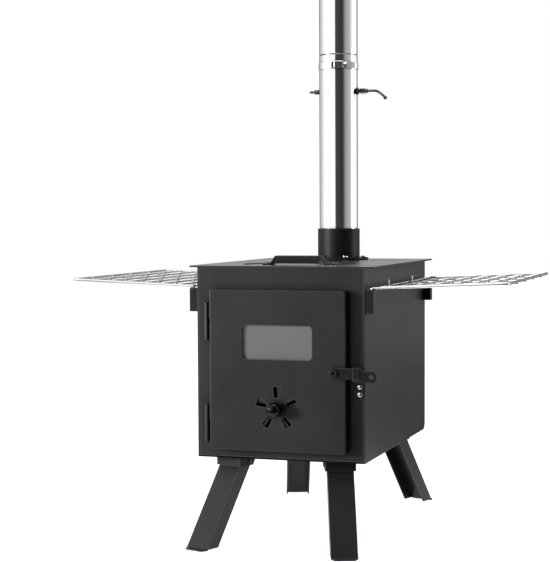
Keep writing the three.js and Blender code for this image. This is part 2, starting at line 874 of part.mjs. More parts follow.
const damper = new THREE.Group();
damper.position.z = sectionLength - damperBelowTop;
damper.rotation.x = toRadians(damperTilt);
chimney.add(damper);
addPiece(damper, "damper_plate", damperPlate(), stainless);
addPiece(damper, "damper_rod", damperRod(), zincSteel);
addPiece(damper, "damper_washer", damperWasher(), zincSteel);
addPiece(damper, "damper_spring", damperSpring(), zincSteel);

// ---------------------------------------------------------------- spark arrestor

// A short section with a recessed cap and rows of holes round its upper half.
// It has two facets to each column of holes, and every hole lies within one of them.
function sparkArrestor() {
  const inner = pipeRadius - pipeWall;
  const capTop = arrestorLength - arrestorCapRecess;
  const capBottom = capTop - arrestorCapThickness;
  const shoulder = sectionOverlap + sectionSeat;
  const shell = spun([
    [spigotRadius - pipeWall, 0],
    [spigotRadius, 0],
    [spigotRadius, shoulder],
    [pipeRadius, shoulder + sectionDraw],
    [pipeRadius, arrestorLength],
    [inner, arrestorLength],
    [inner, capTop],
    [0, capTop],
    [0, capBottom],
    [inner, capBottom],
    [inner, shoulder + sectionDraw],
    [spigotRadius - pipeWall, shoulder],
  ], arrestorHoleColumns * 2);
  const drills = [];
  for (let row = 0; row < arrestorHoleRows; row += 1) {
    const z = arrestorLength - arrestorFirstRow - row * arrestorRowSpacing;
    for (let column = 0; column < arrestorHoleColumns / 2; column += 1) {
      const angle = (2 * Math.PI * (column + 0.25)) / arrestorHoleColumns;
      const [x, y] = [2 * pipeRadius * Math.cos(angle), 2 * pipeRadius * Math.sin(angle)];
      drills.push(bar([-x, -y, z], [x, y, z], arrestorHoleRadius, 6));
    }
  }
  return cutBy(shell, drills);
}

// Ring with an eyelet each side, for guy lines.
function arrestorRing() {
  const half = arrestorRingHeight / 2;
  const inner = pipeRadius + seatGap;
  const band = spun([
    [inner, -half],
    [inner + arrestorRingThickness, -half],
    [inner + arrestorRingThickness, half],
    [inner, half],
  ]);
  const ears = [-1, 1].map((way) => {
    const tab = new THREE.Shape();
    tab.moveTo(way * (inner + arrestorRingThickness / 2), -half);
    tab.lineTo(way * eyeletReach, -eyeletRadius);
    tab.absarc(way * eyeletReach, 0, eyeletRadius, -Math.PI / 2, Math.PI / 2, way < 0);
    tab.lineTo(way * (inner + arrestorRingThickness / 2), half);
    tab.closePath();
    tab.holes.push(circle(way * eyeletReach, 0, eyeletHoleRadius, 16));
    return uprightPlate(tab, -eyeletThickness / 2, eyeletThickness, 5);
  });
  return joined(band, ...ears);
}

const arrestor = new THREE.Group();
arrestor.position.z = sectionLength - sectionOverlap;
upperSection.add(arrestor);
addPiece(arrestor, "spark_arrestor", sparkArrestor(), stainless);
const arrestorBand = addPiece(arrestor, "arrestor_ring", arrestorRing(), stainless);
arrestorBand.position.z = arrestorLength - arrestorRingBelowTop;

// ---------------------------------------------------------------- door

const windowZ = doorBottom + windowRise;
const ventZ = doorBottom + ventRise;

// One opening of the rotary vent: two arcs joined by straight sides.
function ventOpening(middle, inner, outer, innerHalf, outerHalf) {
  const at = (radius, degrees) => {
    const angle = toRadians(degrees);
    return [radius * Math.cos(angle), ventZ + radius * Math.sin(angle)];
  };
  const outline = new THREE.Path();
  outline.moveTo(...at(outer, middle - outerHalf));
  outline.absarc(
    0,
    ventZ,
    outer,
    toRadians(middle - outerHalf),
    toRadians(middle + outerHalf),
  );
  outline.lineTo(...at(inner, middle + innerHalf));
  outline.absarc(
    0,
    ventZ,
    inner,
    toRadians(middle + innerHalf),
    toRadians(middle - innerHalf),
    true,
  );
  outline.closePath();
  return outline;
}

function ventOpenings(turn, inner, outer, innerHalf, outerHalf) {
  return Array.from({ length: ventCount }, (_, k) =>
    ventOpening(90 + turn + (360 * k) / ventCount, inner, outer, innerHalf, outerHalf),
  );
}

// Door: a shallow tray with softly bent edges, cut for the window, the vent and two bolts.
function doorTray() {
  const middleZ = (doorBottom + doorTop) / 2;
  const outer = new THREE.ExtrudeGeometry(
    roundedRectangle(
      0,
      middleZ,
      doorWidth - 2 * doorEdgeRound,
      doorHeight - 2 * doorEdgeRound,
      doorCornerRadius - doorEdgeRound,
    ),
    {
      depth: doorDepth,
      bevelSize: doorEdgeRound,
      bevelThickness: doorEdgeRound,
      bevelSegments: 2,
      curveSegments: 3,
    },
  );
  outer.rotateX(Math.PI / 2).translate(0, doorBack + doorEdgeRound, 0);
  const behind = block(-doorWidth, doorWidth, doorBack, doorBack + 4 * drillPast, 0, plateTop);
  const hollow = uprightPlate(
    roundedRectangle(
      0,
      middleZ,
      doorWidth - 2 * sheet,
      doorHeight - 2 * sheet,
      doorCornerRadius - sheet,
    ),
    doorInner,
    doorDepth + 2 * drillPast,
    3,
  );
  const windowHole = uprightPlate(
    roundedRectangle(0, windowZ, windowWidth, windowHeight, windowCorner),
    doorFront - drillPast,
    2 * drillPast,
    4,
  );
  const vents = ventOpenings(0, ventInner, ventOuter, ventInnerHalf, ventOuterHalf).map((path) =>
    uprightPlate(new THREE.Shape(path.getPoints(3)), doorFront - drillPast, 2 * drillPast),
  );
  const boltHole = (x, z, radius) =>
    bar([x, doorFront - drillPast, z], [x, doorInner + drillPast, z], radius + holeClearance);
  return cutBy(solid(outer), [
    behind,
    hollow,
    windowHole,
    ...vents,
    boltHole(0, ventZ, spindleRadius),
    boltHole(latchX, latchZ, latchBoltRadius),
  ]);
}

function windowGlass() {
  const pane = roundedRectangle(
    0,
    windowZ,
    windowWidth + 2 * glassLap,
    windowHeight + 2 * glassLap,
    2,
  );
  return uprightPlate(pane, doorInner + seatGap, glassThickness, 2);
}

// Retainer: a flat frame that holds the pane against the inside of the door.
function windowRetainer() {
  const frame = roundedRectangle(
    0,
    windowZ,
    windowWidth + 2 * retainerLap,
    windowHeight + 2 * retainerLap,
    3,
  );
  frame.holes.push(
    roundedRectangle(0, windowZ, windowWidth, windowHeight, windowCorner, THREE.Path),
  );
  const rail = uprightPlate(
    frame,
    doorInner + glassThickness + 2 * seatGap,
    retainerThickness,
    3,
  );
  // Four small feet reach past the pane to the door's inside.
  const feet = [-1, 1].flatMap((sideways) =>
    [-1, 1].map((up) => {
      const x = sideways * (windowWidth / 2 + glassLap + 2);
      const z = windowZ + up * (windowHeight / 2 - 8);
      return block(
        x - 1,
        x + 1,
        doorInner + seatGap,
        doorInner + glassThickness + 2 * seatGap + 0.5,
        z - 4,
        z + 4,
      );
    }),
  );
  return joined(rail, ...feet);
}

addPiece(stove, "door_panel", doorTray(), blackSteel);
addPiece(stove, "window_glass", windowGlass(), smokedGlass);
addPiece(stove, "window_retainer", windowRetainer(), blackSteel);

// ---------------------------------------------------------------- rotary air vent

function ventDisc() {
  const disc = circle(0, ventZ, discRadius, discSides, THREE.Shape);
  disc.holes.push(
    ...ventOpenings(
      discRestTurn,
      discWindowInner,
      discWindowOuter,
      discWindowInnerHalf,
      discWindowOuterHalf,
    ),
    circle(0, ventZ, spindleRadius + holeClearance, rodSides),
  );
  return uprightPlate(disc, doorInner + seatGap, discThickness, 3);
}

// Spindle: a bolt from the knob through door and disc, with its nut inside.
function ventSpindle() {
  const nutFront = doorInner + seatGap + discThickness + seatGap;
  const shank = bar(
    [0, doorFront - knobRadius, ventZ],
    [0, nutFront + largeNutHeight + 2, ventZ],
    spindleRadius,
  );
  const nut = uprightPlate(hexagon(0, ventZ, largeNutHalfFlats), nutFront, largeNutHeight);
  return joined(shank, nut);
}

// Ball knob on a short neck, bored for the spindle; spun upright and laid forward.
function ventKnob() {
  const base = seatGap;
  const ballMiddle = base + knobNeckLength + Math.sqrt(knobRadius ** 2 - knobNeckRadius ** 2);
  const start = Math.acos((base + knobNeckLength - ballMiddle) / knobRadius);
  const rings = 9;
  const profile = [
    [0, base],
    [knobNeckRadius, base],
  ];
  for (let k = 0; k <= rings; k += 1) {
    const angle = start * (1 - k / rings);
    profile.push([
      k === rings ? 0 : knobRadius * Math.sin(angle),
      ballMiddle + knobRadius * Math.cos(angle),
    ]);
  }
  const bore = bar([0, 0, -1], [0, 0, knobRadius + seatGap], spindleRadius + holeClearance);
  return spun(profile, 20)
    .subtract(bore)
    .rotate([90, 0, 0])
    .translate([0, doorFront, ventZ]);
}

addPiece(stove, "vent_disc", ventDisc(), blackSteel);
addPiece(stove, "vent_spindle", ventSpindle(), zincSteel);
addPiece(stove, "vent_knob", ventKnob(), blackBall);

// ---------------------------------------------------------------- hinges

// Lower half of a hinge: a barrel welded to the firebox front, bored for the pin.
function hingeBodySide() {
  const barrel = bar([0, 0, -hingeBodyHalf], [0, 0, 0], hingeBarrelRadius);
  const leaf = block(
    -hingeLeaf / 2,
    hingeLeaf / 2,
    0,
    hingeForward - seatGap,
    -hingeBodyHalf,
    0,
  );
  const bore = bar([0, 0, -hingePinEngage], [0, 0, 2], hingePinRadius + holeClearance);
  return joined(barrel, leaf).subtract(bore);
}

// Upper half: a shorter barrel with a domed end, welded to the door's edge.
function hingeDoorSide() {
  const top = seatGap + hingeDoorHalf;
  const barrel = spun([
    [0, seatGap],
    [hingeBarrelRadius, seatGap],
    [hingeBarrelRadius, top - 1.5],
    [hingeBarrelRadius * 0.8, top - 0.4],
    [hingeBarrelRadius * 0.4, top],
    [0, top],
  ], rodSides);
  const leaf = block(
    0,
    hingeSideInset - seatGap,
    -hingeLeaf / 2,
    hingeLeaf / 2,
    seatGap,
    top - 1.5,
  );
  const bore = bar([0, 0, -1], [0, 0, hingePinEngage], hingePinRadius + holeClearance);
  return joined(barrel, leaf).subtract(bore);
}

function hingePin() {
  const end = hingePinEngage - seatGap;
  return bar([0, 0, -end], [0, 0, end - 1], hingePinRadius);
}

const hinges = [
  ["upper", doorTop - hingeBelowTop],
  ["lower", doorBottom + hingeAboveBottom],
];
for (const [place, jointZ] of hinges) {
  const hinge = new THREE.Group();
  hinge.position.set(hingeX, hingeY, jointZ);
  stove.add(hinge);
  addPiece(hinge, `hinge_${place}_body_half`, hingeBodySide(), blackSteel);
  addPiece(hinge, `hinge_${place}_door_half`, hingeDoorSide(), blackSteel);
  addPiece(hinge, `hinge_${place}_pin`, hingePin(), zincSteel);
}

// ---------------------------------------------------------------- latch

function keeperX() {
  return bodyRight - keeperInset;
}

const leverBack = doorFront - latchStandoff;
const leverFront = leverBack - latchThickness;
const leverLow = latchZ - latchHeight / 2;

// Heights of the two screws that hold the keeper.
function keeperScrewHeights() {
  const ledge = doorBottom + latchRise - latchHeight / 2;
  return [ledge - keeperScrewDrop - 1, ledge - keeperScrewDrop - 1 - keeperScrewPitch];
}

// Lever: a flat bar with a lower end tab, and a thicker nose where it crosses the keeper.
function latchLever() {
  const half = latchHeight / 2;
  const end = latchX + latchReach;
  const tabLow = leverLow - latchTabDrop;
  const tabHigh = leverLow + latchHeight - latchTabDrop;
  const tabEnd = end + latchTabLength;
  const corner = latchTabCorner;
  const outline = new THREE.Shape();
  outline.moveTo(latchX, leverLow);
  outline.lineTo(end - corner, leverLow);
  outline.lineTo(end, tabLow);
  outline.lineTo(tabEnd - corner, tabLow);
  outline.absarc(tabEnd - corner, tabLow + corner, corner, -Math.PI / 2, 0);
  outline.absarc(tabEnd - corner, tabHigh - corner, corner, 0, Math.PI / 2);
  outline.lineTo(end, tabHigh);
  outline.lineTo(end - corner, leverLow + latchHeight);
  outline.lineTo(latchX, leverLow + latchHeight);
  outline.absarc(latchX, latchZ, half, Math.PI / 2, Math.PI * 1.5);
  outline.closePath();
  outline.holes.push(
    circle(latchX, latchZ, latchBoltRadius + holeClearance, rodSides),
    circle(tabEnd - latchHoleInset, (tabLow + tabHigh) / 2, latchHoleRadius, rodSides),
  );
  const lever = uprightPlate(outline, leverFront, latchThickness, 5);
  const noseLeft = keeperX() - latchNoseWidth / 2;
  const nose = block(
    noseLeft,
    noseLeft + latchNoseWidth,
    leverFront - latchThickness + weldBite,
    leverFront + weldBite,
    leverLow,
    leverLow + latchNoseHeight,
  );
  return joined(lever, nose);
}

// Pivot bolt: a domed head in front of the lever, a spacer behind it and a nut inside the door.
function latchBolt() {
  const front = leverFront - seatGap;
  const head = spun([
    [0, 0],
    [latchBoltHeadRadius, 0],
    [latchBoltHeadRadius, latchBoltHeadHeight * 0.5],
    [latchBoltHeadRadius * 0.75, latchBoltHeadHeight],
    [0, latchBoltHeadHeight],
  ], rodSides).rotate([90, 0, 0]).translate([latchX, front, latchZ]);
  const nutFront = doorInner + seatGap;
  const through = (from, to, radius) => bar([latchX, from, latchZ], [latchX, to, latchZ], radius);
  const shank = through(front - weldBite, nutFront + largeNutHeight + 1, latchBoltRadius);
  const spacer = through(leverBack + seatGap, doorFront - seatGap, latchSpacerRadius);
  const nut = uprightPlate(hexagon(latchX, latchZ, largeNutHalfFlats), nutFront, largeNutHeight);
  return joined(head, shank, spacer, nut);
}

// Keeper: a strip screwed to the firebox front and bent forward as a ledge under the lever.
function latchKeeper() {
  const middle = keeperX();
  const left = middle - keeperWidth / 2;
  const back = bodyFront - seatGap;
  const top = leverLow - seatGap;
  const front = leverFront + keeperShort;
  const side = new THREE.Shape();
  side.moveTo(back, top - keeperDrop);
  side.lineTo(back, top - keeperBend);
  side.absarc(back - keeperBend, top - keeperBend, keeperBend, 0, Math.PI / 2);
  side.lineTo(front, top);
  side.lineTo(front, top - keeperSheet);
  side.lineTo(back - keeperSheet - 0.8, top - keeperSheet);
  side.lineTo(back - keeperSheet, top - keeperSheet - 0.8);
  side.lineTo(back - keeperSheet, top - keeperDrop);
  side.closePath();
  const holes = keeperScrewHeights().map((z) =>
    bar(
      [middle, back - 2 * drillPast, z],
      [middle, back + drillPast, z],
      screwShankRadius + holeClearance,
      12,
    ),
  );
  return cutBy(sidePlate(side, left, keeperWidth), holes);
}

// Keeper screw: round head in front, shank through keeper and sheet; drawn pointing up.
function keeperScrew() {
  return spun([
    [0, -keeperSheet - sheet - 4],
    [screwShankRadius * 0.6, -keeperSheet - sheet - 4],
    [screwShankRadius, -keeperSheet - sheet - 2.5],
    [screwShankRadius, 0],
    [screwHeadRadius, 0],
    [screwHeadRadius, screwHeadHeight * 0.4],
    [screwHeadRadius * 0.7, screwHeadHeight * 0.9],
    [0, screwHeadHeight],
  ], boltSides);
}

addPiece(stove, "latch_lever", latchLever(), blackCasting);
addPiece(stove, "latch_pivot_bolt", latchBolt(), blackCasting);
addPiece(stove, "latch_keeper", latchKeeper(), blackCasting);
keeperScrewHeights().forEach((z, k) => {
  const screw = addPiece(stove, `keeper_screw_${k + 1}`, keeperScrew(), zincSteel);
  screw.position.set(keeperX(), bodyFront - seatGap - keeperSheet - seatGap, z);
  screw.rotation.x = Math.PI / 2;
});

// ---------------------------------------------------------------- side racks

const rackInner = bodyRight + rackWallGap;
const rackInnerZ = plateTop - rackDrop;

// A point of the right-hand rack: how far out from its inner wire, and how far along the stove.
function rackPoint(out, along, lift = 0) {
  return [rackInner + out, along, rackInnerZ + (rackRise * out) / rackDepth + lift];
}

// Frame wire: down into one bracket, out, along the outer edge, back in and down again.
function rackFrame() {
  const half = rackLength / 2;
  const bend = rackCornerBend;
  const hookX = bodyRight + bracketReach - bracketSheet - seatGap - rackFrameWire;
  const hookTop = rackInnerZ - rackElbow;
  const path = new THREE.CurvePath();
  const corner = (point) => new THREE.Vector3(...point);
  const line = (a, b) => path.add(new THREE.LineCurve3(corner(a), corner(b)));
  const turn = (a, middle, b) =>
    path.add(new THREE.QuadraticBezierCurve3(corner(a), corner(middle), corner(b)));
  const hookOut = hookX - rackInner;
  for (const way of [-1, 1]) {
    const y = way * half;
    const downEnd = [hookX, y, rackInnerZ - rackHookLength];
    const downStart = [hookX, y, hookTop];
    const elbow = rackPoint(hookOut, y);
    const run = rackPoint(hookOut + rackElbow, y);
    const outEnd = rackPoint(rackDepth - bend, y);
    const outCorner = rackPoint(rackDepth, y);
    const edgeStart = rackPoint(rackDepth, y - way * bend);
    if (way < 0) {
      line(downEnd, downStart);
      turn(downStart, elbow, run);
      line(run, outEnd);
      turn(outEnd, outCorner, edgeStart);
      line(edgeStart, rackPoint(rackDepth, half - bend));
    } else {
      turn(edgeStart, outCorner, outEnd);
      line(outEnd, run);
      turn(run, elbow, downStart);
      line(downStart, downEnd);
    }
  }
  return path;
}

// Each stretch of the frame as its own wire, so that straight runs stay two rings long.
function frameWire() {
  const pieces = rackFrame().curves.map((curve) => {
    if (!(curve instanceof THREE.LineCurve3)) return wireAlong(curve, rackFrameWire, 3, 8);
    const along = curve.getTangent(0).multiplyScalar(weldBite);
    const start = curve.v1.clone().sub(along);
    const end = curve.v2.clone().add(along);
    return bar(start.toArray(), end.toArray(), rackFrameWire, 8);
  });
  return joined(...pieces);
}

// Rack: seven more long wires welded between the ends, and four cross wires under them.
function rack() {
  const half = rackLength / 2;
  const wires = [frameWire()];
  for (let k = 0; k < rackLongWires - 1; k += 1) {
    const out = (rackDepth * k) / (rackLongWires - 1);
    wires.push(bar(rackPoint(out, -half), rackPoint(out, half), rackBarWire, 6));
  }
  const under = -rackBarWire * 1.5;
  for (let k = 1; k < rackShortWires - 1; k += 1) {
    const y = -half + (rackLength * k) / (rackShortWires - 1);
    wires.push(bar(rackPoint(-2, y, under), rackPoint(rackDepth + 1, y, under), rackBarWire, 6));
  }
  return joined(...wires);
}

const rightRack = rack();
addPiece(stove, "side_rack_right", rightRack, brightWire);
addPiece(stove, "side_rack_left", rightRack.mirror([1, 0, 0]), brightWire);

// Rack bracket: a narrow channel, open above and below, whose open side meets the wall.
// The hook hangs in it and the rack's end wire lies on its upper edge.
function rackBracket() {
  const half = bracketWidth / 2;
  const low = rackInnerZ - rackFrameWire - seatGap - bracketHeight;
  const outline = new THREE.Shape();
  outline.moveTo(seatGap, -half);
  outline.lineTo(bracketReach, -half);
  outline.lineTo(bracketReach, half);
  outline.lineTo(seatGap, half);
  outline.lineTo(seatGap, half - bracketSheet);
  outline.lineTo(bracketReach - bracketSheet, half - bracketSheet);
  outline.lineTo(bracketReach - bracketSheet, -half + bracketSheet);
  outline.lineTo(seatGap, -half + bracketSheet);
  outline.closePath();
  return flatPlate(outline, low, bracketHeight);
}

for (const [end, alongWay] of [["front", -1], ["rear", 1]]) {
  for (const [side, sideWay] of [["left", -1], ["right", 1]]) {
    const bracket = addPiece(stove, `rack_bracket_${end}_${side}`, rackBracket(), blackSteel);
    bracket.position.set(sideWay * bodyRight, (alongWay * rackLength) / 2, 0);
    bracket.rotation.z = sideWay < 0 ? Math.PI : 0;
  }
}

// ---------------------------------------------------------------- folding legs

// In a leg's own frame the pin is at the origin along Y, +X points outward and +Z up.
const lean = toRadians(legLean);
const downLeg = [Math.sin(lean), -Math.cos(lean)];
const outOfWeb = [Math.cos(lean), Math.sin(lean)];

// A point this far down the leg and this far outward from the pin, as [x, z].
function legPoint(down, out) {
  return [downLeg[0] * down + outOfWeb[0] * out, downLeg[1] * down + outOfWeb[1] * out];
}

// How far down the leg a line at this outward offset meets a level.
function downTo(level, out) {
  return (level - outOfWeb[1] * out) / downLeg[1];
}

function legSideShape(points) {
  const outline = new THREE.Shape();
  outline.setFromPoints(points.map(([x, z]) => new THREE.Vector2(x, z)));
  outline.closePath();
  return outline;
}

function leg() {
  const ground = -legPinZ;
  const half = legWidth / 2;
  const webIn = legWebOffset - sheet;
  const flangeIn = legWebOffset - legFlange;
  const web = uprightPlate(
    legSideShape([
      legPoint(legWebStart, webIn),
      legPoint(legWebStart, legWebOffset),
      legPoint(downTo(ground, legWebOffset), legWebOffset),
      legPoint(downTo(ground, webIn), webIn),
    ]),
    -half,
    legWidth,
  );
  // Each flange widens from the eye round the pin to the web's full depth.
  const flangeFoot = ground + 1.5;
  const eye = [];
  const steps = 6;
  const firstAngle = lean + Math.PI;
  for (let k = 0; k <= steps; k += 1) {
    const angle = firstAngle - (Math.PI * k) / steps;
    eye.push([legEyeRadius * Math.cos(angle), legEyeRadius * Math.sin(angle)]);
  }
  const flangeShape = legSideShape([
    ...eye,
    legPoint(legWebStart, legWebOffset - weldBite),
    legPoint(downTo(flangeFoot, legWebOffset - weldBite), legWebOffset - weldBite),
    legPoint(downTo(flangeFoot, flangeIn), flangeIn),
  ]);
  const flanges = [-half, half - sheet].map((y) => uprightPlate(flangeShape, y, sheet));
  const footStart = legPoint(downTo(ground, webIn), webIn)[0] + weldBite;
  const footEnd = legPoint(downTo(ground, legWebOffset), legWebOffset)[0] + footLength;
  const footDepth = footEnd - footStart;
  const footMiddle = footStart + (footDepth - footCorner) / 2;
  const foot = flatPlate(
    roundedRectangle(footMiddle, 0, footDepth + footCorner, footWidth, footCorner),
    ground,
    sheet,
    4,
  );
  const trim = block(footStart - 60, footStart, -60, 60, ground - 1, ground + sheet + 0.5);
  const pinHole = bar(
    [0, -half - drillPast, 0],
    [0, half + drillPast, 0],
    legPinRadius + holeClearance,
  );
  return joined(web, ...flanges, foot.subtract(trim)).subtract(pinHole);
}

// Leg bracket: two ears and a front wall bent from one strip and welded under the floor.
// The leg's web comes to rest against the lower edge of the front wall.
function legBracket() {
  const top = legPinDrop - seatGap;
  const low = top - earHeight;
  const earIn = legWidth / 2 + earGap;
  const earOut = earIn + sheet;
  const wallIn = legPoint(downTo(low, legWebOffset), legWebOffset)[0] + seatGap;
  const wallOut = wallIn + sheet;
  const earShape = legSideShape([
    [wallOut, low],
    [wallOut, top],
    [-earReach, top],
    [-earReach, 1],
    [-earReach + 5, low],
  ]);
  const ears = [-earOut, earIn].map((y) => uprightPlate(earShape, y, sheet));
  const wall = block(wallIn, wallOut, -earOut, earOut, low, top);
  const pinHole = bar(
    [0, -earOut - drillPast, 0],
    [0, earOut + drillPast, 0],
    legPinRadius + holeClearance,
  );
  return joined(wall, ...ears).subtract(pinHole);
}

function legPin() {
  const earOut = legWidth / 2 + earGap + sheet + seatGap;
  const shank = bar([0, -earOut - 1, 0], [0, earOut + 1, 0], legPinRadius);
  const heads = [-1, 1].map((way) =>
    bar(
      [0, way * earOut, 0],
      [0, way * (earOut + pinHeadHeight), 0],
      pinHeadRadius,
      rodSides,
      pinHeadRadius * 0.7,
    ),
  );
  return joined(shank, ...heads);
}

for (const [end, alongWay] of [["front", -1], ["rear", 1]]) {
  for (const [side, sideWay] of [["left", -1], ["right", 1]]) {
    const mount = new THREE.Group();
    mount.position.set(
      sideWay * (bodyRight - legSideInset),
      alongWay * (bodyBack - legEndInset),
      legPinZ,
    );
    mount.rotation.z = Math.atan2(
      alongWay * Math.cos(toRadians(legAzimuth)),
      sideWay * Math.sin(toRadians(legAzimuth)),
    );
    stove.add(mount);
    addPiece(mount, `leg_${end}_${side}`, leg(), blackSteel);
    addPiece(mount, `leg_bracket_${end}_${side}`, legBracket(), blackSteel);
    addPiece(mount, `leg_pin_${end}_${side}`, legPin(), zincSteel);
  }
}

export default stove;
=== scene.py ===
import json
from math import cos, pi, radians, sin

import bmesh
import bpy
import numpy as np
from mathutils import Matrix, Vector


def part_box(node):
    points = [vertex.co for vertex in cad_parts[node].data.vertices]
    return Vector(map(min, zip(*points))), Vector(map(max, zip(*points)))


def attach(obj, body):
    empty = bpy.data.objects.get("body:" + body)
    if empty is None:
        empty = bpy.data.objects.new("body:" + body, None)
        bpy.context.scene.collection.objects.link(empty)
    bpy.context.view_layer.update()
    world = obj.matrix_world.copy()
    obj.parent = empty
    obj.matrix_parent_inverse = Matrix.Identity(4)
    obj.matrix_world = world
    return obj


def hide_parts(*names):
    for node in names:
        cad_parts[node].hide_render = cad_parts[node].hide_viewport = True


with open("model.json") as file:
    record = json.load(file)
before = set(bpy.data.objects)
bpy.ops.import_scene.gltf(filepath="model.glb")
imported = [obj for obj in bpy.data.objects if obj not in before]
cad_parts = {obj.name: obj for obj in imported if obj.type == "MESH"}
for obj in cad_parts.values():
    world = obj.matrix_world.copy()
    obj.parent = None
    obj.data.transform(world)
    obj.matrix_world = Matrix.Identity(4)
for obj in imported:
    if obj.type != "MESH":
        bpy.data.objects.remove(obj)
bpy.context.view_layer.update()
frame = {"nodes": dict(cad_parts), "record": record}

# ------------------------------------------------------------------ camera
# The photograph was taken with a long lens from a little above the cooking plate and to the
# right of the door. Place, turn and lens come from the corners of the stove in the picture.
camera_place = (0.6686, -2.2248, 0.4675)
camera_yaw = 0.3194
camera_pitch = -0.0447
camera_roll = -0.0043
camera_lens = 99.64

aim = cos(camera_pitch) * np.array([-sin(camera_yaw), cos(camera_yaw), 0]) + (0, 0, sin(camera_pitch))
level_right = np.array([cos(camera_yaw), sin(camera_yaw), 0.0])
level_up = np.cross(level_right, aim)
camera_right = level_right * cos(camera_roll) + level_up * sin(camera_roll)
camera_up = level_up * cos(camera_roll) - level_right * sin(camera_roll)
turn = Matrix(np.column_stack([camera_right, camera_up, -aim]).tolist()).to_4x4()
camera_data = bpy.data.cameras.new("camera")
camera_data.lens = camera_lens
camera = bpy.data.objects.new("camera", camera_data)
camera.matrix_world = Matrix.Translation(camera_place) @ turn
bpy.context.scene.collection.objects.link(camera)
bpy.context.scene.camera = camera
bpy.context.scene.view_settings.view_transform = "Standard"

# ------------------------------------------------------------------ studio
# A white sweep with one soft lamp at the left, one at the right and one above. A wall of cards
# stands round the chimney for reflections alone, and gives it its dark and grey bands.
room_light = 0.11
floor_glow = 0.94
floor_colour = 0.80
floor_half = 9.0


def add_node(tree, kind, inputs=(), operation=None, data_type=None, group=None):
    """Adds a shader node. Each input that is named or numbered takes the value given for it, or
    a link where another node's output is given."""
    node = tree.nodes.new("ShaderNode" + kind)
    if operation:
        node.operation = operation
    if data_type:
        node.data_type = data_type
    if group:
        node.node_tree = group
    for name, value in dict(inputs).items():
        if isinstance(value, bpy.types.NodeSocket):
            tree.links.new(value, node.inputs[name])
        else:
            node.inputs[name].default_value = value
    return node


def is_ray(tree, *kinds):
    """1 for a ray of any of these kinds, otherwise 0: the largest of Light Path's outputs."""
    rays = add_node(tree, "LightPath")
    seen = rays.outputs[kinds[0]]
    for kind in kinds[1:]:
        seen = add_node(tree, "Math", {0: seen, 1: rays.outputs[kind]}, operation="MAXIMUM").outputs[0]
    return seen


def new_material(name):
    """A material with an empty node tree, to be wired by the caller."""
    material = bpy.data.materials.new(name)
    material.use_nodes = True
    material.node_tree.nodes.clear()
    return material, material.node_tree


def on_stage(name, points, faces, material):
    """A mesh of the studio, which belongs to no piece of the stove."""
    mesh = bpy.data.meshes.new(name)
    mesh.from_pydata(np.asarray(points, dtype=float).tolist(), [], np.asarray(faces).tolist())
    mesh.materials.append(material)
    placed = bpy.data.objects.new(name, mesh)
    bpy.context.scene.collection.objects.link(placed)
    return placed


world = bpy.data.worlds.new("studio")
bpy.context.scene.world = world
world.use_nodes = True
tree = world.node_tree
tree.nodes.clear()
seen = is_ray(tree, "Is Camera Ray", "Is Glossy Ray", "Is Transmission Ray")
strength = add_node(tree, "MapRange", {"Value": seen, "To Min": room_light, "To Max": 1.0})
background = add_node(tree, "Background", {"Color": (1, 1, 1, 1), "Strength": strength.outputs["Result"]})
add_node(tree, "OutputWorld", {"Surface": background.outputs[0]})

floor_material, tree = new_material("white sweep")
seen = is_ray(tree, "Is Camera Ray", "Is Glossy Ray")
glow = add_node(tree, "Math", {0: seen, 1: floor_glow}, operation="MULTIPLY")
emission = add_node(tree, "Emission", {"Strength": glow.outputs[0]})
diffuse = add_node(tree, "BsdfDiffuse", {"Color": (floor_colour, floor_colour, floor_colour, 1)})
both = add_node(tree, "AddShader", {0: emission.outputs[0], 1: diffuse.outputs[0]})
add_node(tree, "OutputMaterial", {"Surface": both.outputs[0]})
floor_corners = floor_half * np.array([(-1, -1, 0), (1, -1, 0), (1, 1, 0), (-1, 1, 0)])
on_stage("floor", floor_corners, [(0, 1, 2, 3)], floor_material)

# The wall's tones against the direction from the chimney, in degrees from +X.
wall_tones = np.array([
    (-254, 1.0), (-242, 1.0), (-239, 0.10), (-224, 0.14), (-217, 0.55), (-186, 0.72), (-172, 1.12),
    (-96, 1.12), (-93, 0.06), (-50, 0.035), (-42, 0.14), (-32, 0.34), (-6, 0.50), (6, 0.70),
    (16, 1.12), (58, 1.12), (65, 0.30), (80, 0.26), (92, 0.12), (96, 1.0), (106, 1.0),
])
wall_distance = 3.4
wall_low, wall_high = 0.02, 5.0
wall_columns = 180
turns = np.linspace(wall_tones[0, 0], wall_tones[-1, 0], wall_columns + 1)
rim = wall_distance * np.column_stack([np.cos(np.radians(turns)), np.sin(np.radians(turns))])
rim += np.mean(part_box("pipe_lower"), axis=0)[:2]

wall_material, tree = new_material("reflection wall")
painted = add_node(tree, "Attribute")
painted.attribute_name = "tone"
emission = add_node(tree, "Emission", {"Color": painted.outputs["Fac"]})
add_node(tree, "OutputMaterial", {"Surface": emission.outputs[0]})


def reflected_ring(name, circles, share):
    """Cards that only reflections see. Each circle, given by its distance and height, is the rim
    scaled to that distance. Faces join the two, in the wall's tones times the share."""
    points = np.concatenate([
        np.column_stack([rim * (distance / wall_distance), np.full(len(rim), height)])
        for distance, height in circles
    ])
    column = np.arange(wall_columns)
    faces = np.column_stack([column, column + 1, column + 2 + wall_columns, column + 1 + wall_columns])
    ring = on_stage(name, points, faces, wall_material)
    tone = ring.data.attributes.new("tone", "FLOAT", "POINT")
    tone.data.foreach_set("value", share * np.tile(np.interp(turns, wall_tones[:, 0], wall_tones[:, 1]), 2))
    ring.visible_camera = ring.visible_diffuse = ring.visible_shadow = False
    ring.visible_transmission = ring.visible_volume_scatter = False


reflected_ring("reflection_wall", [(wall_distance, wall_low), (wall_distance, wall_high)], 1.0)

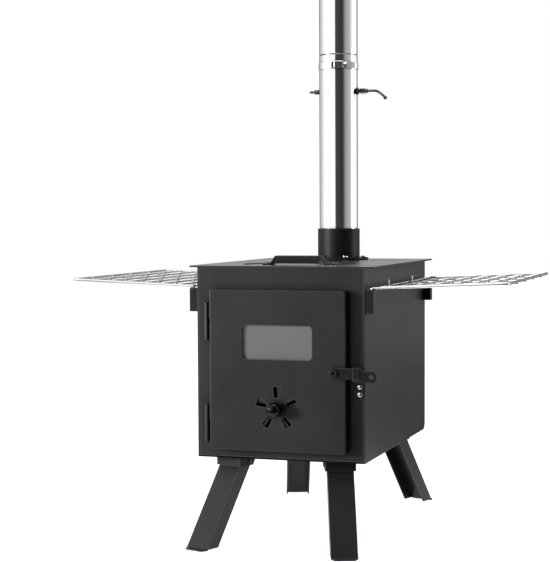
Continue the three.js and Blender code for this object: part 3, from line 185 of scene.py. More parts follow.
# A cloth lies round the stove for reflections alone, with the wall's tones made darker.
cloth_share = 0.42
cloth_inner, cloth_outer, cloth_height = 0.45, 3.3, 0.004
reflected_ring("dark_cloth", [(cloth_inner, cloth_height), (cloth_outer, cloth_height)], cloth_share)


def softbox(name, place, target, size, watts):
    """A square area lamp that looks at a point."""
    lamp = bpy.data.lights.new(name, "AREA")
    lamp.size = size
    lamp.energy = watts
    lamp_object = bpy.data.objects.new(name, lamp)
    toward = np.array(target, dtype=float) - np.array(place, dtype=float)
    toward /= np.linalg.norm(toward)
    side = np.cross(toward, (0, 0, 1))
    side /= np.linalg.norm(side)
    up = np.cross(side, toward)
    facing = Matrix(np.column_stack([side, up, -toward]).tolist()).to_4x4()
    lamp_object.matrix_world = Matrix.Translation(place) @ facing
    bpy.context.scene.collection.objects.link(lamp_object)


softbox("left light", place=(-2.6, -2.1, 0.75), target=(0, 0, 0.4), size=0.9, watts=150)
softbox("right light", place=(3.1, 1.25, 0.5), target=(0, 0, 0.3), size=1.0, watts=25)
softbox("top light", place=(0.2, 0.3, 3.2), target=(0, 0.1, 0.3), size=1.6, watts=30)

# ------------------------------------------------------------------ firebox walls
# Four sheets of 2 mm mild steel, cut and bent, welded inside at the corners and sprayed with
# satin black heat paint. The back sheet turns under with a soft bend and becomes the floor.
paint_colour = (0.0206, 0.0174, 0.0218)
paint_roughness = 0.34
paint_gloss = 0.24
paint_dimple = 850
paint_cloud = 9
# A lighter colour that folded edges take as a painted highlight.
edge_highlight_colour = (0.110, 0.104, 0.112)


def new_group(name, inputs, outputs):
    """A shader node group with named inputs, each with its kind and value, and named outputs."""
    group = bpy.data.node_groups.new(name, "ShaderNodeTree")
    for label, (kind, value) in inputs.items():
        socket = group.interface.new_socket(name=label, in_out="INPUT", socket_type="NodeSocket" + kind)
        socket.default_value = value
    for label, kind in outputs.items():
        group.interface.new_socket(name=label, in_out="OUTPUT", socket_type="NodeSocket" + kind)
    return group, group.nodes.new("NodeGroupInput").outputs


def put_out(group, outputs):
    """Closes a group: links each named output to a socket inside it."""
    result = group.nodes.new("NodeGroupOutput")
    for label, socket in outputs.items():
        group.links.new(socket, result.inputs[label])


# Painted shade and painted highlights. "Open" falls towards 0 where other surfaces stand close,
# and darkens the colour there as painted shade in corners and gaps. "Edge" rises where the
# normal turns within the edge's reach, and lightens folded edges as a painted highlight.
shade_and_highlight, given = new_group(
    "painted shade and edge highlight",
    {"Shade Reach": ("Float", 0.014), "Deepest": ("Float", 0.15)},
    {"Open": "Float", "Edge": "Float"},
)
corners = add_node(shade_and_highlight, "AmbientOcclusion", {"Distance": given["Shade Reach"]})
corners.samples = 8
painted_shade = add_node(
    shade_and_highlight,
    "MapRange",
    {"Value": corners.outputs["AO"], "From Min": 0.45, "From Max": 0.95, "To Min": given["Deepest"]},
).outputs["Result"]
turned_normal = add_node(shade_and_highlight, "Bevel", {"Radius": 0.0014})
turned_normal.samples = 6
own_normal = add_node(shade_and_highlight, "NewGeometry")
alike = add_node(
    shade_and_highlight,
    "VectorMath",
    {0: turned_normal.outputs["Normal"], 1: own_normal.outputs["Normal"]},
    operation="DOT_PRODUCT",
)
edge_highlight = add_node(shade_and_highlight, "MapRange", {"Value": alike.outputs["Value"], "From Min": 0.995, "From Max": 0.90})
open_edge_highlight = add_node(shade_and_highlight, "Math", {0: edge_highlight.outputs["Result"], 1: painted_shade}, operation="MULTIPLY")
put_out(shade_and_highlight, {"Open": painted_shade, "Edge": open_edge_highlight.outputs[0]})

# Sprayed paint: fine orange peel, and slow clouds where the coat lies thicker. Its colour also
# takes the painted shade and the painted edge highlight of the group above.
spray, given = new_group(
    "sprayed coat",
    {
        "Dimples": ("Float", paint_dimple),
        "Clouds": ("Float", paint_cloud),
        "Colour": ("Color", (*paint_colour, 1)),
        "Roughness": ("Float", paint_roughness),
    },
    {"Colour": "Color", "Roughness": "Float", "Height": "Float"},
)
where = add_node(spray, "TexCoord").outputs["Object"]
dimples = add_node(spray, "TexNoise", {"Vector": where, "Scale": given["Dimples"], "Detail": 2.0})
clouds = add_node(
    spray, "TexNoise", {"Vector": where, "Scale": given["Clouds"], "Detail": 5.0, "Roughness": 0.6}
)
thick = add_node(
    spray,
    "MapRange",
    {"Value": clouds.outputs["Fac"], "From Min": 0.3, "From Max": 0.7, "To Min": 0.86, "To Max": 1.14},
).outputs["Result"]
tinted = add_node(spray, "VectorMath", {0: given["Colour"], "Scale": thick}, operation="SCALE")
# Painted shade where other surfaces stand close, and a painted highlight on folded edges.
light_marks = add_node(spray, "Group", group=shade_and_highlight)
with_painted_shade = add_node(
    spray,
    "VectorMath",
    {0: tinted.outputs["Vector"], "Scale": light_marks.outputs["Open"]},
    operation="SCALE",
)
with_painted_highlight = add_node(
    spray,
    "Mix",
    {"Factor": light_marks.outputs["Edge"], "A": with_painted_shade.outputs["Vector"], "B": (*edge_highlight_colour, 1)},
    data_type="RGBA",
)
satin = add_node(spray, "Math", {0: given["Roughness"], 1: thick}, operation="MULTIPLY")
put_out(spray, {
    "Colour": with_painted_highlight.outputs["Result"],
    "Roughness": satin.outputs[0],
    "Height": dimples.outputs["Fac"],
})


def sprayed(name, colour, roughness, gloss, dimple=paint_dimple, depth=0.00006):
    """Black paint over steel: the sprayed coat group feeds colour, with its painted shade and
    painted edge highlights, roughness and a fine bump.
    """
    material, tree = new_material(name)
    values = {"Dimples": dimple, "Colour": (*colour, 1), "Roughness": roughness}
    coat = add_node(tree, "Group", values, group=spray)
    peel = add_node(tree, "Bump", {"Strength": 0.35, "Distance": depth, "Height": coat.outputs["Height"]})
    surface = add_node(tree, "BsdfPrincipled", {
        "Base Color": coat.outputs["Colour"],
        "Roughness": coat.outputs["Roughness"],
        "Specular IOR Level": gloss,
        "Normal": peel.outputs["Normal"],
    })
    add_node(tree, "OutputMaterial", {"Surface": surface.outputs[0]})
    return material


heat_paint = sprayed("satin black heat paint", paint_colour, paint_roughness, paint_gloss)

body_of = {node: body for body, nodes in frame["record"]["behaviour"]["bodies"].items() for node in nodes}


def stand_in(piece, *nodes):
    """The piece replaces these nodes and rides on their body."""
    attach(piece, body_of[nodes[0]])
    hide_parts(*nodes)
    return piece


def steady_shading(piece):
    """Smooth shading whose normals lean on the large faces, so flats stay flat and bends roll."""
    piece.data.polygons.foreach_set("use_smooth", np.ones(len(piece.data.polygons), dtype=bool))
    weigh = piece.modifiers.new("steady shading", "WEIGHTED_NORMAL")
    weigh.mode = "FACE_AREA"
    weigh.weight = 90


def softened(node, material, edge=0.0004, segments=2, angle=28):
    """A merged copy of a node's solid, with its flats whole again and its edges rounded."""
    shape = bmesh.new()
    shape.from_mesh(frame["nodes"][node].data)
    bmesh.ops.remove_doubles(shape, verts=shape.verts, dist=1e-6)
    bmesh.ops.dissolve_limit(shape, angle_limit=radians(0.5), verts=shape.verts, edges=shape.edges)
    mesh = bpy.data.meshes.new(node + "_skin")
    shape.to_mesh(mesh)
    shape.free()
    mesh.materials.clear()
    mesh.materials.append(material)
    piece = bpy.data.objects.new(node + "_skin", mesh)
    bpy.context.scene.collection.objects.link(piece)
    if edge:
        rounding = piece.modifiers.new("rounded edges", "BEVEL")
        rounding.width = edge
        rounding.segments = segments
        rounding.limit_method = "ANGLE"
        rounding.angle_limit = radians(angle)
    steady_shading(piece)
    return stand_in(piece, node)


for panel in ("side_panel_left", "side_panel_right", "front_panel"):
    softened(panel, heat_paint)


def lattice(rows, columns, round_rows=False, round_columns=False):
    """Four-sided faces between the points of a grid, which closes on itself where it is round."""
    r = np.arange(rows if round_rows else rows - 1)[:, None]
    c = np.arange(columns if round_columns else columns - 1)[None, :]
    r_next, c_next = (r + 1) % rows, (c + 1) % columns
    near, far = r * columns, r_next * columns
    return np.stack([near + c, near + c_next, far + c_next, far + c], axis=-1).reshape(-1, 4)


def join(*patches):
    """Several (points, faces) patches as one."""
    starts = np.cumsum([0] + [len(points) for points, _ in patches[:-1]])
    points = np.concatenate([points for points, _ in patches])
    faces = [
        tuple(int(corner) + int(start) for corner in face)
        for (_, patch_faces), start in zip(patches, starts)
        for face in patch_faces
    ]
    return points, faces


def place_piece(name, shape, material, nodes, merge=2e-6, steady=False):
    """Makes a closed shape from (points, faces), turns its faces outwards, and stands it in."""
    points, faces = shape
    mesh = bpy.data.meshes.new(name)
    mesh.from_pydata(points.tolist(), [], [tuple(int(v) for v in face) for face in faces])
    mended = bmesh.new()
    mended.from_mesh(mesh)
    bmesh.ops.remove_doubles(mended, verts=mended.verts, dist=merge)
    bmesh.ops.recalc_face_normals(mended, faces=mended.faces)
    mended.to_mesh(mesh)
    mended.free()
    mesh.materials.append(material)
    mesh.polygons.foreach_set("use_smooth", np.ones(len(mesh.polygons), dtype=bool))
    piece = bpy.data.objects.new(name, mesh)
    bpy.context.scene.collection.objects.link(piece)
    if steady:
        steady_shading(piece)
    return stand_in(piece, *nodes)


def rounded(corners, cut, steps=5):
    """A closed outline with each corner replaced by a parabola from cut before it to cut after it."""
    corners = np.asarray(corners, dtype=float)
    before, after = np.roll(corners, 1, axis=0) - corners, np.roll(corners, -1, axis=0) - corners
    reach_before, reach_after = np.linalg.norm(before, axis=1), np.linalg.norm(after, axis=1)
    most = 0.49 * np.minimum(reach_before, reach_after)
    cut = np.minimum(np.broadcast_to(cut, len(corners)), most)[:, None]
    start = corners + before / reach_before[:, None] * cut
    end = corners + after / reach_after[:, None] * cut
    t = np.linspace(0, 1, steps)[None, :, None]
    bends = (1 - t) ** 2 * start[:, None] + 2 * t * (1 - t) * corners[:, None] + t**2 * end[:, None]
    return bends.reshape(-1, 2)


def band(path, depth, axis, start):
    """A closed outline carried straight along one axis, closed with flat ends."""
    rows = np.array([start, start + depth])
    ring = len(path)
    points = np.zeros((2, ring, 3))
    others = [k for k in range(3) if k != axis]
    points[..., others[0]] = path[:, 0]
    points[..., others[1]] = path[:, 1]
    points[..., axis] = rows[:, None]
    faces = [tuple(f) for f in lattice(2, ring, round_columns=True)]
    faces += [tuple(range(ring - 1, -1, -1)), tuple(range(ring, 2 * ring))]
    return points.reshape(-1, 3), faces


floor_low, floor_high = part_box("back_and_floor_panel")
bend_radius = 0.011
bend_steps = 14
sheet_thickness = 0.002
angle = np.linspace(-pi / 2, 0, bend_steps)
bend_y, bend_z = floor_high[1] - bend_radius, floor_low[2] + bend_radius
outer_bend = np.column_stack([bend_y + bend_radius * np.cos(angle), bend_z + bend_radius * np.sin(angle)])
inner = bend_radius - sheet_thickness
back = angle[::-1]
inner_bend = np.column_stack([bend_y + inner * np.cos(back), bend_z + inner * np.sin(back)])
wrap = np.concatenate([
    [(floor_low[1], floor_low[2])],
    outer_bend,
    [(floor_high[1], floor_high[2]), (floor_high[1] - sheet_thickness, floor_high[2])],
    inner_bend,
    [(floor_low[1], floor_low[2] + sheet_thickness)],
])
place_piece(
    "back_and_floor_sheet",
    band(wrap, floor_high[0] - floor_low[0], 0, floor_low[0]),
    heat_paint,
    ["back_and_floor_panel"],
    steady=True,
)

# ------------------------------------------------------------------ cooking plate
# A 2.5 mm plate that stands over the walls on both sides. A round hole carries the lid on a
# pressed ledge, and a smaller one takes the flue; the plate is pressed and painted black.
plate_low, plate_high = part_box("cooking_plate")
lid_low, lid_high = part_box("cooking_lid")
pipe_low, pipe_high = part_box("pipe_lower")
plate_thickness = 0.0025
plate_corner = 0.003
lid_gap = 0.001
ledge_width = 0.007
flue_hole = 0.0277
plate_edge = 0.0005
lid_hole_sides, flue_hole_sides = 128, 64


def outline_sheet(outlines, thickness, edge, segments=2):
    """A flat sheet lying in X and Y on z 0, with holes, cut from outlines and rounded at its edges."""
    drawing = bpy.data.curves.new("outline", "CURVE")
    drawing.dimensions = "2D"
    drawing.fill_mode = "BOTH"
    drawing.extrude = thickness / 2 - edge
    drawing.bevel_depth = edge
    drawing.bevel_resolution = segments - 1
    drawing.offset = -edge
    for outline in outlines:
        spline = drawing.splines.new("POLY")
        spline.points.add(len(outline) - 1)
        flat = np.zeros((len(outline), 4))
        flat[:, :2] = outline
        flat[:, 3] = 1
        spline.points.foreach_set("co", flat.ravel())
        spline.use_cyclic_u = True
    cutter = bpy.data.objects.new("outline", drawing)
    bpy.context.scene.collection.objects.link(cutter)
    bpy.context.view_layer.update()
    made = cutter.to_mesh()
    points = np.zeros(len(made.vertices) * 3)
    made.vertices.foreach_get("co", points)
    points = points.reshape(-1, 3)
    points[:, 2] += thickness / 2
    faces = [tuple(face.vertices) for face in made.polygons]
    cutter.to_mesh_clear()
    bpy.data.objects.remove(cutter)
    return points, faces


def ring_points(centre, radius, count):
    """Points round a circle."""
    a = np.linspace(0, 2 * pi, count, endpoint=False)
    return np.column_stack([centre[0] + radius * np.cos(a), centre[1] + radius * np.sin(a)])


def held(profile, near=0.0005):
    """A closed profile with two points more on each long side, a little in from its ends: they
    keep the smooth shading of an edge from running along the side."""
    profile = np.asarray(profile, dtype=float)
    following = np.roll(profile, -1, axis=0)
    step = following - profile
    reach = np.linalg.norm(step, axis=1)[:, None]
    inward = step / np.maximum(reach, 1e-9) * near
    rows = np.stack([profile, profile + inward, following - inward], axis=1)
    long = np.broadcast_to(reach > 4 * near, (len(profile), 2))
    return rows[np.concatenate([np.ones((len(profile), 1), dtype=bool), long], axis=1)]


def turned(profile, centre, sides=96, open_profile=False):
    """A profile of (radius, height) points turned about an upright axis at a centre. It is a
    closed outline, unless it is open and its ends meet the axis or another patch."""
    profile = np.asarray(profile, dtype=float)
    a = np.linspace(0, 2 * pi, sides, endpoint=False)
    points = np.empty((sides, len(profile), 3))
    points[..., 0] = centre[0] + np.cos(a)[:, None] * profile[:, 0]
    points[..., 1] = centre[1] + np.sin(a)[:, None] * profile[:, 0]
    points[..., 2] = centre[2] + profile[:, 1]
    faces = lattice(sides, len(profile), round_rows=True, round_columns=not open_profile)
    return points.reshape(-1, 3), faces


def moved(shape, matrix=np.eye(3), shift=(0, 0, 0)):
    """A shape's points turned by a 3 by 3 matrix and shifted."""
    points, faces = shape
    return points @ np.array(matrix, dtype=float).T + np.array(shift, dtype=float), faces


def middle_of(node):
    """The middle of a node's box."""
    return np.mean(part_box(node), axis=0)


lid_centre = middle_of("cooking_lid")
lid_radius = (lid_high[0] - lid_low[0]) / 2
flue_centre = middle_of("pipe_lower")
plate_outline = rounded(
    [
        (plate_low[0], plate_low[1]),
        (plate_high[0], plate_low[1]),
        (plate_high[0], plate_high[1]),
        (plate_low[0], plate_high[1]),
    ],
    plate_corner,
    7,
)
hole_edge = lid_radius + lid_gap
lid_hole = ring_points(lid_centre, hole_edge, lid_hole_sides)
flue_opening = ring_points(flue_centre, flue_hole, flue_hole_sides)
plate_bottom = plate_high[2] - plate_thickness
plate_sheet = outline_sheet([plate_outline, lid_hole, flue_opening], plate_thickness, plate_edge)
plate_sheet = moved(plate_sheet, shift=(0, 0, plate_bottom))

# The ledge is a ring with an upright lip that meets the plate's underside just outside the hole.
ledge_lap, ledge_clear = 0.0004, 0.0002
ledge_bends = [0.0004, 0.0012, 0.0001, 0.0001, 0.0006, 0.0004]
ledge_inner = lid_radius - ledge_width
lip_outer, lip_inner = hole_edge + sheet_thickness, hole_edge + ledge_clear
ledge = turned(
    rounded(
        [
            (ledge_inner, plate_low[2]),
            (lip_outer, plate_low[2]),
            (lip_outer, plate_bottom + ledge_lap),
            (lip_inner, plate_bottom + ledge_lap),
            (lip_inner, plate_low[2] + sheet_thickness),
            (ledge_inner, plate_low[2] + sheet_thickness),
        ],
        ledge_bends,
        4,
    ),
    (lid_centre[0], lid_centre[1], 0),
    lid_hole_sides,
)
place_piece("top_plate", join(plate_sheet, ledge), heat_paint, ["cooking_plate"], steady=True)

# ------------------------------------------------------------------ lid and handle
# A round disc of the same steel that drops into the plate. Its handle is one strip pressed to
# a low bridge, folded down along its front edge and riveted to the disc through its two feet.
# Black paint for the fittings, darker than the walls' paint. On the rack brackets its darkness also stands in
# for the shade on their front walls: painted shade.
fitting_paint = sprayed("black fittings", (0.0048, 0.0040, 0.0052), roughness=0.28, gloss=0.27, dimple=1100)

lid_edge = 0.0005
lid_chamfer = lid_edge * 0.3
lid_thickness = lid_high[2] - lid_low[2]
lid_disc = turned(
    [
        (0, 0),
        (lid_radius - lid_edge, 0),
        (lid_radius, lid_edge),
        (lid_radius, lid_thickness - lid_edge),
        (lid_radius - lid_chamfer, lid_thickness - lid_chamfer),
        (lid_radius - lid_edge, lid_thickness),
        (0, lid_thickness),
    ],
    (lid_centre[0], lid_centre[1], lid_low[2]),
    128,
)
place_piece("lid_disc", lid_disc, heat_paint, ["cooking_lid"], steady=True)
softened("lid_handle", fitting_paint, edge=0.0006, segments=3)

# ------------------------------------------------------------------ chimney sections
# Thin stainless sheet rolled to a tube, closed by a laser-welded seam and drawn in at the lower
# end, so that each section plugs into the one below. The tube is polished almost to a mirror.
tube_radius = (pipe_high[0] - pipe_low[0]) / 2
tube_wall = 0.0008
spigot_radius = 0.0289
spigot_length = 0.0303
draw_length = 0.0014
tube_lip = 0.0002
tube_sides = 160
polish_stretch = (900.0, 900.0, 14.0)

# Rolled and polished metal: lines drawn one way, faint smears, and a slow wave in the sheet.
# Its tint also darkens as painted shade where other surfaces stand close.
polish, given = new_group(
    "drawn polish",
    {"Stretch": ("Vector", polish_stretch), "Roughness": ("Float", 0.1), "Waviness": ("Float", 0.5)},
    {"Roughness": "Float", "Height": "Float", "Tint": "Color"},
)
where = add_node(polish, "TexCoord").outputs["Object"]
stretched = add_node(polish, "VectorMath", {0: where, 1: given["Stretch"]}, operation="MULTIPLY")
lines = add_node(polish, "TexNoise", {"Vector": stretched.outputs["Vector"], "Scale": 1.0, "Detail": 3.0})
wave = add_node(polish, "TexNoise", {"Vector": where, "Scale": 16.0, "Detail": 1.0})
smears = add_node(
    polish, "TexNoise", {"Vector": where, "Scale": 42.0, "Detail": 6.0, "Roughness": 0.65}
).outputs["Fac"]
dull = add_node(
    polish, "MapRange", {"Value": smears, "From Min": 0.35, "From Max": 0.75, "To Min": 0.85, "To Max": 1.6}
)
rough = add_node(polish, "Math", {0: given["Roughness"], 1: dull.outputs["Result"]}, operation="MULTIPLY")
slow = add_node(polish, "Math", {0: wave.outputs["Fac"], 1: given["Waviness"]}, operation="MULTIPLY")
fine = add_node(polish, "Math", {0: lines.outputs["Fac"], 1: 0.02}, operation="MULTIPLY")
height = add_node(polish, "Math", {0: slow.outputs[0], 1: fine.outputs[0]}, operation="ADD")
shade = add_node(polish, "MapRange", {"Value": smears, "To Min": 0.94, "To Max": 1.0})
# Painted shade: the tint darkens where other surfaces stand within a few millimetres.
light_marks = add_node(polish, "Group", {"Shade Reach": 0.004}, group=shade_and_highlight)
shaded = add_node(
    polish,
    "VectorMath",
    {0: shade.outputs["Result"], "Scale": light_marks.outputs["Open"]},
    operation="SCALE",
)
put_out(polish, {
    "Roughness": rough.outputs[0],
    "Height": height.outputs[0],
    "Tint": shaded.outputs["Vector"],
})


def polished(name, colour, roughness, stretch=polish_stretch, waviness=0.16, depth=0.0004):
    """Bare bright metal: the drawn polish group feeds colour, darkened as painted shade near
    other surfaces, roughness and a faint bump.
    """
    material, tree = new_material(name)
    values = {"Stretch": stretch, "Roughness": roughness, "Waviness": waviness}
    finish = add_node(tree, "Group", values, group=polish)
    tone = add_node(
        tree,
        "Mix",
        {"Factor": 1.0, "A": (*colour, 1), "B": finish.outputs["Tint"]},
        data_type="RGBA",
    )
    tone.blend_type = "MULTIPLY"
    ripple = add_node(tree, "Bump", {"Strength": 0.5, "Distance": depth, "Height": finish.outputs["Height"]})
    surface = add_node(tree, "BsdfPrincipled", {
        "Base Color": tone.outputs["Result"],
        "Metallic": 1.0,
        "Roughness": finish.outputs["Roughness"],
        "Normal": ripple.outputs["Normal"],
    })
    add_node(tree, "OutputMaterial", {"Surface": surface.outputs[0]})
    return material


stainless = polished("polished stainless", (0.93, 0.925, 0.92), roughness=0.07)


def shoulder(lower_radius, upper_radius):
    """The drawn step above a spigot. The height grows evenly with t, from 0 to 1, and the radius
    eases from the lower to the upper one by three t squared less two t cubed."""
    t = np.linspace(0, 1, 8)
    ease = t * t * (3 - 2 * t)
    return np.column_stack([
        lower_radius + (upper_radius - lower_radius) * ease,
        spigot_length + draw_length * t,
    ])


def tube_profile(length):
    """Half the section of a chimney tube: outside going up, inside coming down."""
    inner = tube_radius - tube_wall
    spigot_inner = spigot_radius - tube_wall
    return np.concatenate([
        [(spigot_inner, 0.0), (spigot_radius - tube_lip, 0.0), (spigot_radius, tube_lip)],
        shoulder(spigot_radius, tube_radius),
        [(tube_radius, length - tube_lip), (tube_radius - tube_lip, length)],
        [(inner + tube_lip, length), (inner, length - tube_lip)],
        shoulder(spigot_inner, inner)[::-1],
    ])


def chimney_tube(name, node):
    """One chimney section, turned where its node stands."""
    low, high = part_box(node)
    foot = (flue_centre[0], flue_centre[1], low[2])
    shape = turned(held(tube_profile(high[2] - low[2])), foot, tube_sides)
    return place_piece(name, shape, stainless, [node])


chimney_tube("chimney_section_low", "pipe_lower")
chimney_tube("chimney_section_high", "pipe_upper")

# ------------------------------------------------------------------ hose clamp
# A plated steel band runs round the joint of two sections and ends in a pressed housing for the
# worm screw. Its free end springs away past the hexagon head, and it draws the joint together.
clamp_stretch = (300.0, 300.0, 300.0)
plated = polished("bright plating", (0.80, 0.80, 0.79), roughness=0.12, stretch=clamp_stretch, waviness=0.3)
clamp_steel = polished("clamp steel", (0.86, 0.86, 0.85), roughness=0.22, stretch=clamp_stretch, waviness=0.3)
band_half = 0.005
band_wall = 0.0008
band_inner = tube_radius + 0.0003
clamp_turn = radians(-74)
housing_reach, housing_wide, housing_tall = 0.0080, 0.0150, 0.0110
flap_past_left, flap_past_right, flap_half = 0.004, 0.001, 0.0045
flap_sunk, flap_proud = 0.0002, 0.0009
tail_start, tail_end, tail_lift = radians(23), radians(50), 0.0026

clamp_centre = (flue_centre[0], flue_centre[1], middle_of("clamp_band")[2])


def spin(axis, angle):
    """The 3 by 3 matrix that turns about one of the main axes."""
    return np.array(Matrix.Rotation(angle, 3, axis))


def slab(low, high, edge, axis=2, segments=3):
    """A block between two corners with every edge rounded; its outline lies square to one axis."""
    low, high = np.asarray(low, dtype=float), np.asarray(high, dtype=float)
    u, v, w = [(1, 2, 0), (2, 0, 1), (0, 1, 2)][axis]
    outline = rounded([(low[u], low[v]), (high[u], low[v]), (high[u], high[v]), (low[u], high[v])], edge, 5)
    thickness = high[w] - low[w]
    points, faces = outline_sheet([outline], thickness, min(edge, thickness / 2.2), segments)
    shifted = np.empty_like(points)
    shifted[:, u], shifted[:, v], shifted[:, w] = points[:, 0], points[:, 1], points[:, 2] + low[w]
    return shifted, faces


band_outer = band_inner + band_wall
ring_profile = rounded(
    [(band_inner, -band_half), (band_outer, -band_half), (band_outer, band_half), (band_inner, band_half)],
    0.0002,
    4,
)
t = np.linspace(0, 1, 16)
tail_turn = tail_start + (tail_end - tail_start) * t
tail_way = np.column_stack([np.cos(tail_turn), np.sin(tail_turn)])
tail_rise = tail_lift * t**1.7
tail_inside = (band_outer + tail_rise)[:, None] * tail_way
tail_outside = (band_outer + tail_rise + band_wall)[:, None] * tail_way
tail = outline_sheet([np.concatenate([tail_inside, tail_outside[::-1]])], 2 * band_half, 0.0002)
housing = slab(
    (band_outer - 0.0004, -housing_wide / 2, -housing_tall / 2),
    (band_outer + housing_reach, housing_wide / 2, housing_tall / 2),
    0.0016,
    axis=1,
)
flap = slab(
    (band_outer - flap_sunk, -housing_wide / 2 - flap_past_left, -flap_half),
    (band_outer + flap_proud, housing_wide / 2 + flap_past_right, flap_half),
    0.0004,
)
clamp = join(
    turned(held(ring_profile, 0.0003), (0, 0, 0), 128),
    moved(tail, shift=(0, 0, -band_half)),
    housing,
    flap,
)
clamp = moved(clamp, spin("Z", clamp_turn), clamp_centre)
place_piece("clamp_ring", clamp, clamp_steel, ["clamp_band"], steady=True)
softened("clamp_screw", clamp_steel, edge=0.00025, segments=3)

# ------------------------------------------------------------------ flue collar
# A short tube welded to a flat flange and bolted to the plate over a ring of graphite felt.
# The bolts are black cap heads with a hexagon socket, here given the bright plating; their
# nuts run up under the plate.
collar_low, collar_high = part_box("flue_collar")
collar_outer = 0.0326
collar_inner = 0.0305
flange_radius = (collar_high[0] - collar_low[0]) / 2
flange_thickness = 0.002
collar_height = collar_high[2] - collar_low[2]
collar = turned(
    held(rounded(
        [
            (collar_inner, 0),
            (flange_radius, 0),
            (flange_radius, flange_thickness),
            (collar_outer, flange_thickness),
            (collar_outer, collar_height),
            (collar_inner, collar_height),
        ],
        [0.0004, 0.0005, 0.0005, 0.0016, 0.0006, 0.0005],
        6,
    )),
    (flue_centre[0], flue_centre[1], collar_low[2]),
    128,
)
collar_colour = (0.0095, 0.0082, 0.0097)
collar_paint = sprayed("collar paint", collar_colour, roughness=0.44, gloss=0.13, dimple=900, depth=0.00002)
place_piece("flue_collar_tube", collar, collar_paint, ["flue_collar"])

felt_low, felt_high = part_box("flue_gasket")
felt_colour = (0.020, 0.020, 0.021)
felt_material = sprayed("graphite felt", felt_colour, roughness=0.85, gloss=0.2, dimple=420, depth=0.0003)
felt = turned(
    rounded(
        [
            (collar_inner, 0),
            (flange_radius - 0.0002, 0),
            (flange_radius - 0.0002, felt_high[2] - felt_low[2]),
            (collar_inner, felt_high[2] - felt_low[2]),
        ],
        0.0004,
        4,
    ),
    (flue_centre[0], flue_centre[1], felt_low[2]),
    96,
)
place_piece("flue_felt", felt, felt_material, ["flue_gasket"])


def around(centre, rows, sides):
    """Rows of (radii, height) as points round an upright axis, one radius for each side."""
    a = np.arange(sides) * 2 * pi / sides
    return np.concatenate([
        np.column_stack([centre[0] + r * np.cos(a), centre[1] + r * np.sin(a), np.full(sides, z)])
        for r, z in rows
    ])


def hexagon(half_flats, sides):
    """How far a hexagon lies from its middle in each direction: half its width over flats,
    divided by the cosine of the angle from the nearest flat's own direction."""
    a = np.arange(sides) * 2 * pi / sides
    return half_flats / np.cos((a + pi / 6) % (pi / 3) - pi / 6)


bolt_sides = 36
socket_share, socket_mouth_share, socket_depth = 0.5, 0.55, 0.0016


def socket_bolt(centre, low, head_low, high, head_radius, shank_radius):
    """A cap-head bolt: a turned shank and head with a rounded rim, and a hexagon let into the
    head's top."""
    rim = 0.0006
    top = high - head_low
    head = turned(
        [
            (0, low - head_low),
            (shank_radius - 0.0003, low - head_low),
            (shank_radius, low - head_low + 0.0004),
            (shank_radius, 0),
            (head_radius - 0.0003, 0),
            (head_radius, 0.0003),
            (head_radius, top - rim),
            (head_radius - rim * 0.3, top - rim * 0.3),
            (head_radius - rim, top),
            (head_radius * socket_mouth_share, top),
        ],
        (centre[0], centre[1], head_low),
        bolt_sides,
        open_profile=True,
    )
    flats = hexagon(head_radius * socket_share, bolt_sides)
    mouth = np.full(bolt_sides, head_radius * socket_mouth_share)
    face = high - 0.00002
    floor = face - socket_depth - 0.0002
    rows = [(mouth, face), (flats, face - 0.0001), (flats, face - socket_depth), (0 * flats, floor)]
    return join(head, (around(centre, rows, bolt_sides), lattice(4, bolt_sides, round_columns=True)))


def nut(centre, low, high, flats):
    """A hexagon nut, upright about a centre, whose corners are turned off at both faces."""
    reach = hexagon(flats / 2, bolt_sides)
    chamfer = np.minimum(reach, flats / 2 * 1.02)
    rows = [
        (0 * reach, low),
        (chamfer, low),
        (reach, low + 0.0005),
        (reach, high - 0.0005),
        (chamfer, high),
        (0 * reach, high),
    ]
    return around(centre, rows, bolt_sides), lattice(6, bolt_sides, round_columns=True)


head_lift = 0.0002
flue_head_radius, flue_shank_radius = 0.0041, 0.002
flue_nut_high, flue_nut_low, flue_nut_flats = 0.0003, 0.0033, 0.0072
head_low = collar_low[2] + flange_thickness + head_lift
for k in range(6):
    low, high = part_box(f"flue_bolt_{k + 1}")
    middle = middle_of(f"flue_bolt_{k + 1}")
    bolt = socket_bolt(middle, low[2], head_low, high[2], flue_head_radius, flue_shank_radius)
    under = nut(middle, plate_bottom - flue_nut_low, plate_bottom - flue_nut_high, flue_nut_flats)
    place_piece(f"collar_bolt_{k + 1}", join(bolt, under), plated, [f"flue_bolt_{k + 1}"], steady=True)

# ------------------------------------------------------------------ damper
# A steel rod crosses the tube and carries a round plate that is turned to choke the draught.
# A washer, a coil spring and a pressed collar hold it where it is set; its end is cranked.
zinc_stretch = (500.0, 500.0, 500.0)
damper_steel = polished("grey zinc", (0.13, 0.13, 0.13), roughness=0.22, stretch=zinc_stretch, waviness=0.2)
damper_centre = middle_of("damper_plate")
damper_tilt = radians(-23)
rod_radius = 0.002
disc_radius = tube_radius - tube_wall - 0.0008
coil_radius, coil_wire, coil_turns = 0.0037, 0.0006, 5
coil_start, coil_end = 0.0344, 0.0439
disc_half = 0.0006
sleeve_end, sleeve_radius = 0.0224, 0.0033
rod_end, knob_out, knob_up, knob_round = -0.0455, 0.0692, 0.0244, 0.0029

# Turned shapes stand on Z. This matrix lays them along the rod, on X.
lying = np.array([[0, 0, 1], [1, 0, 0], [0, 1, 0]])

dome_share = 0.7


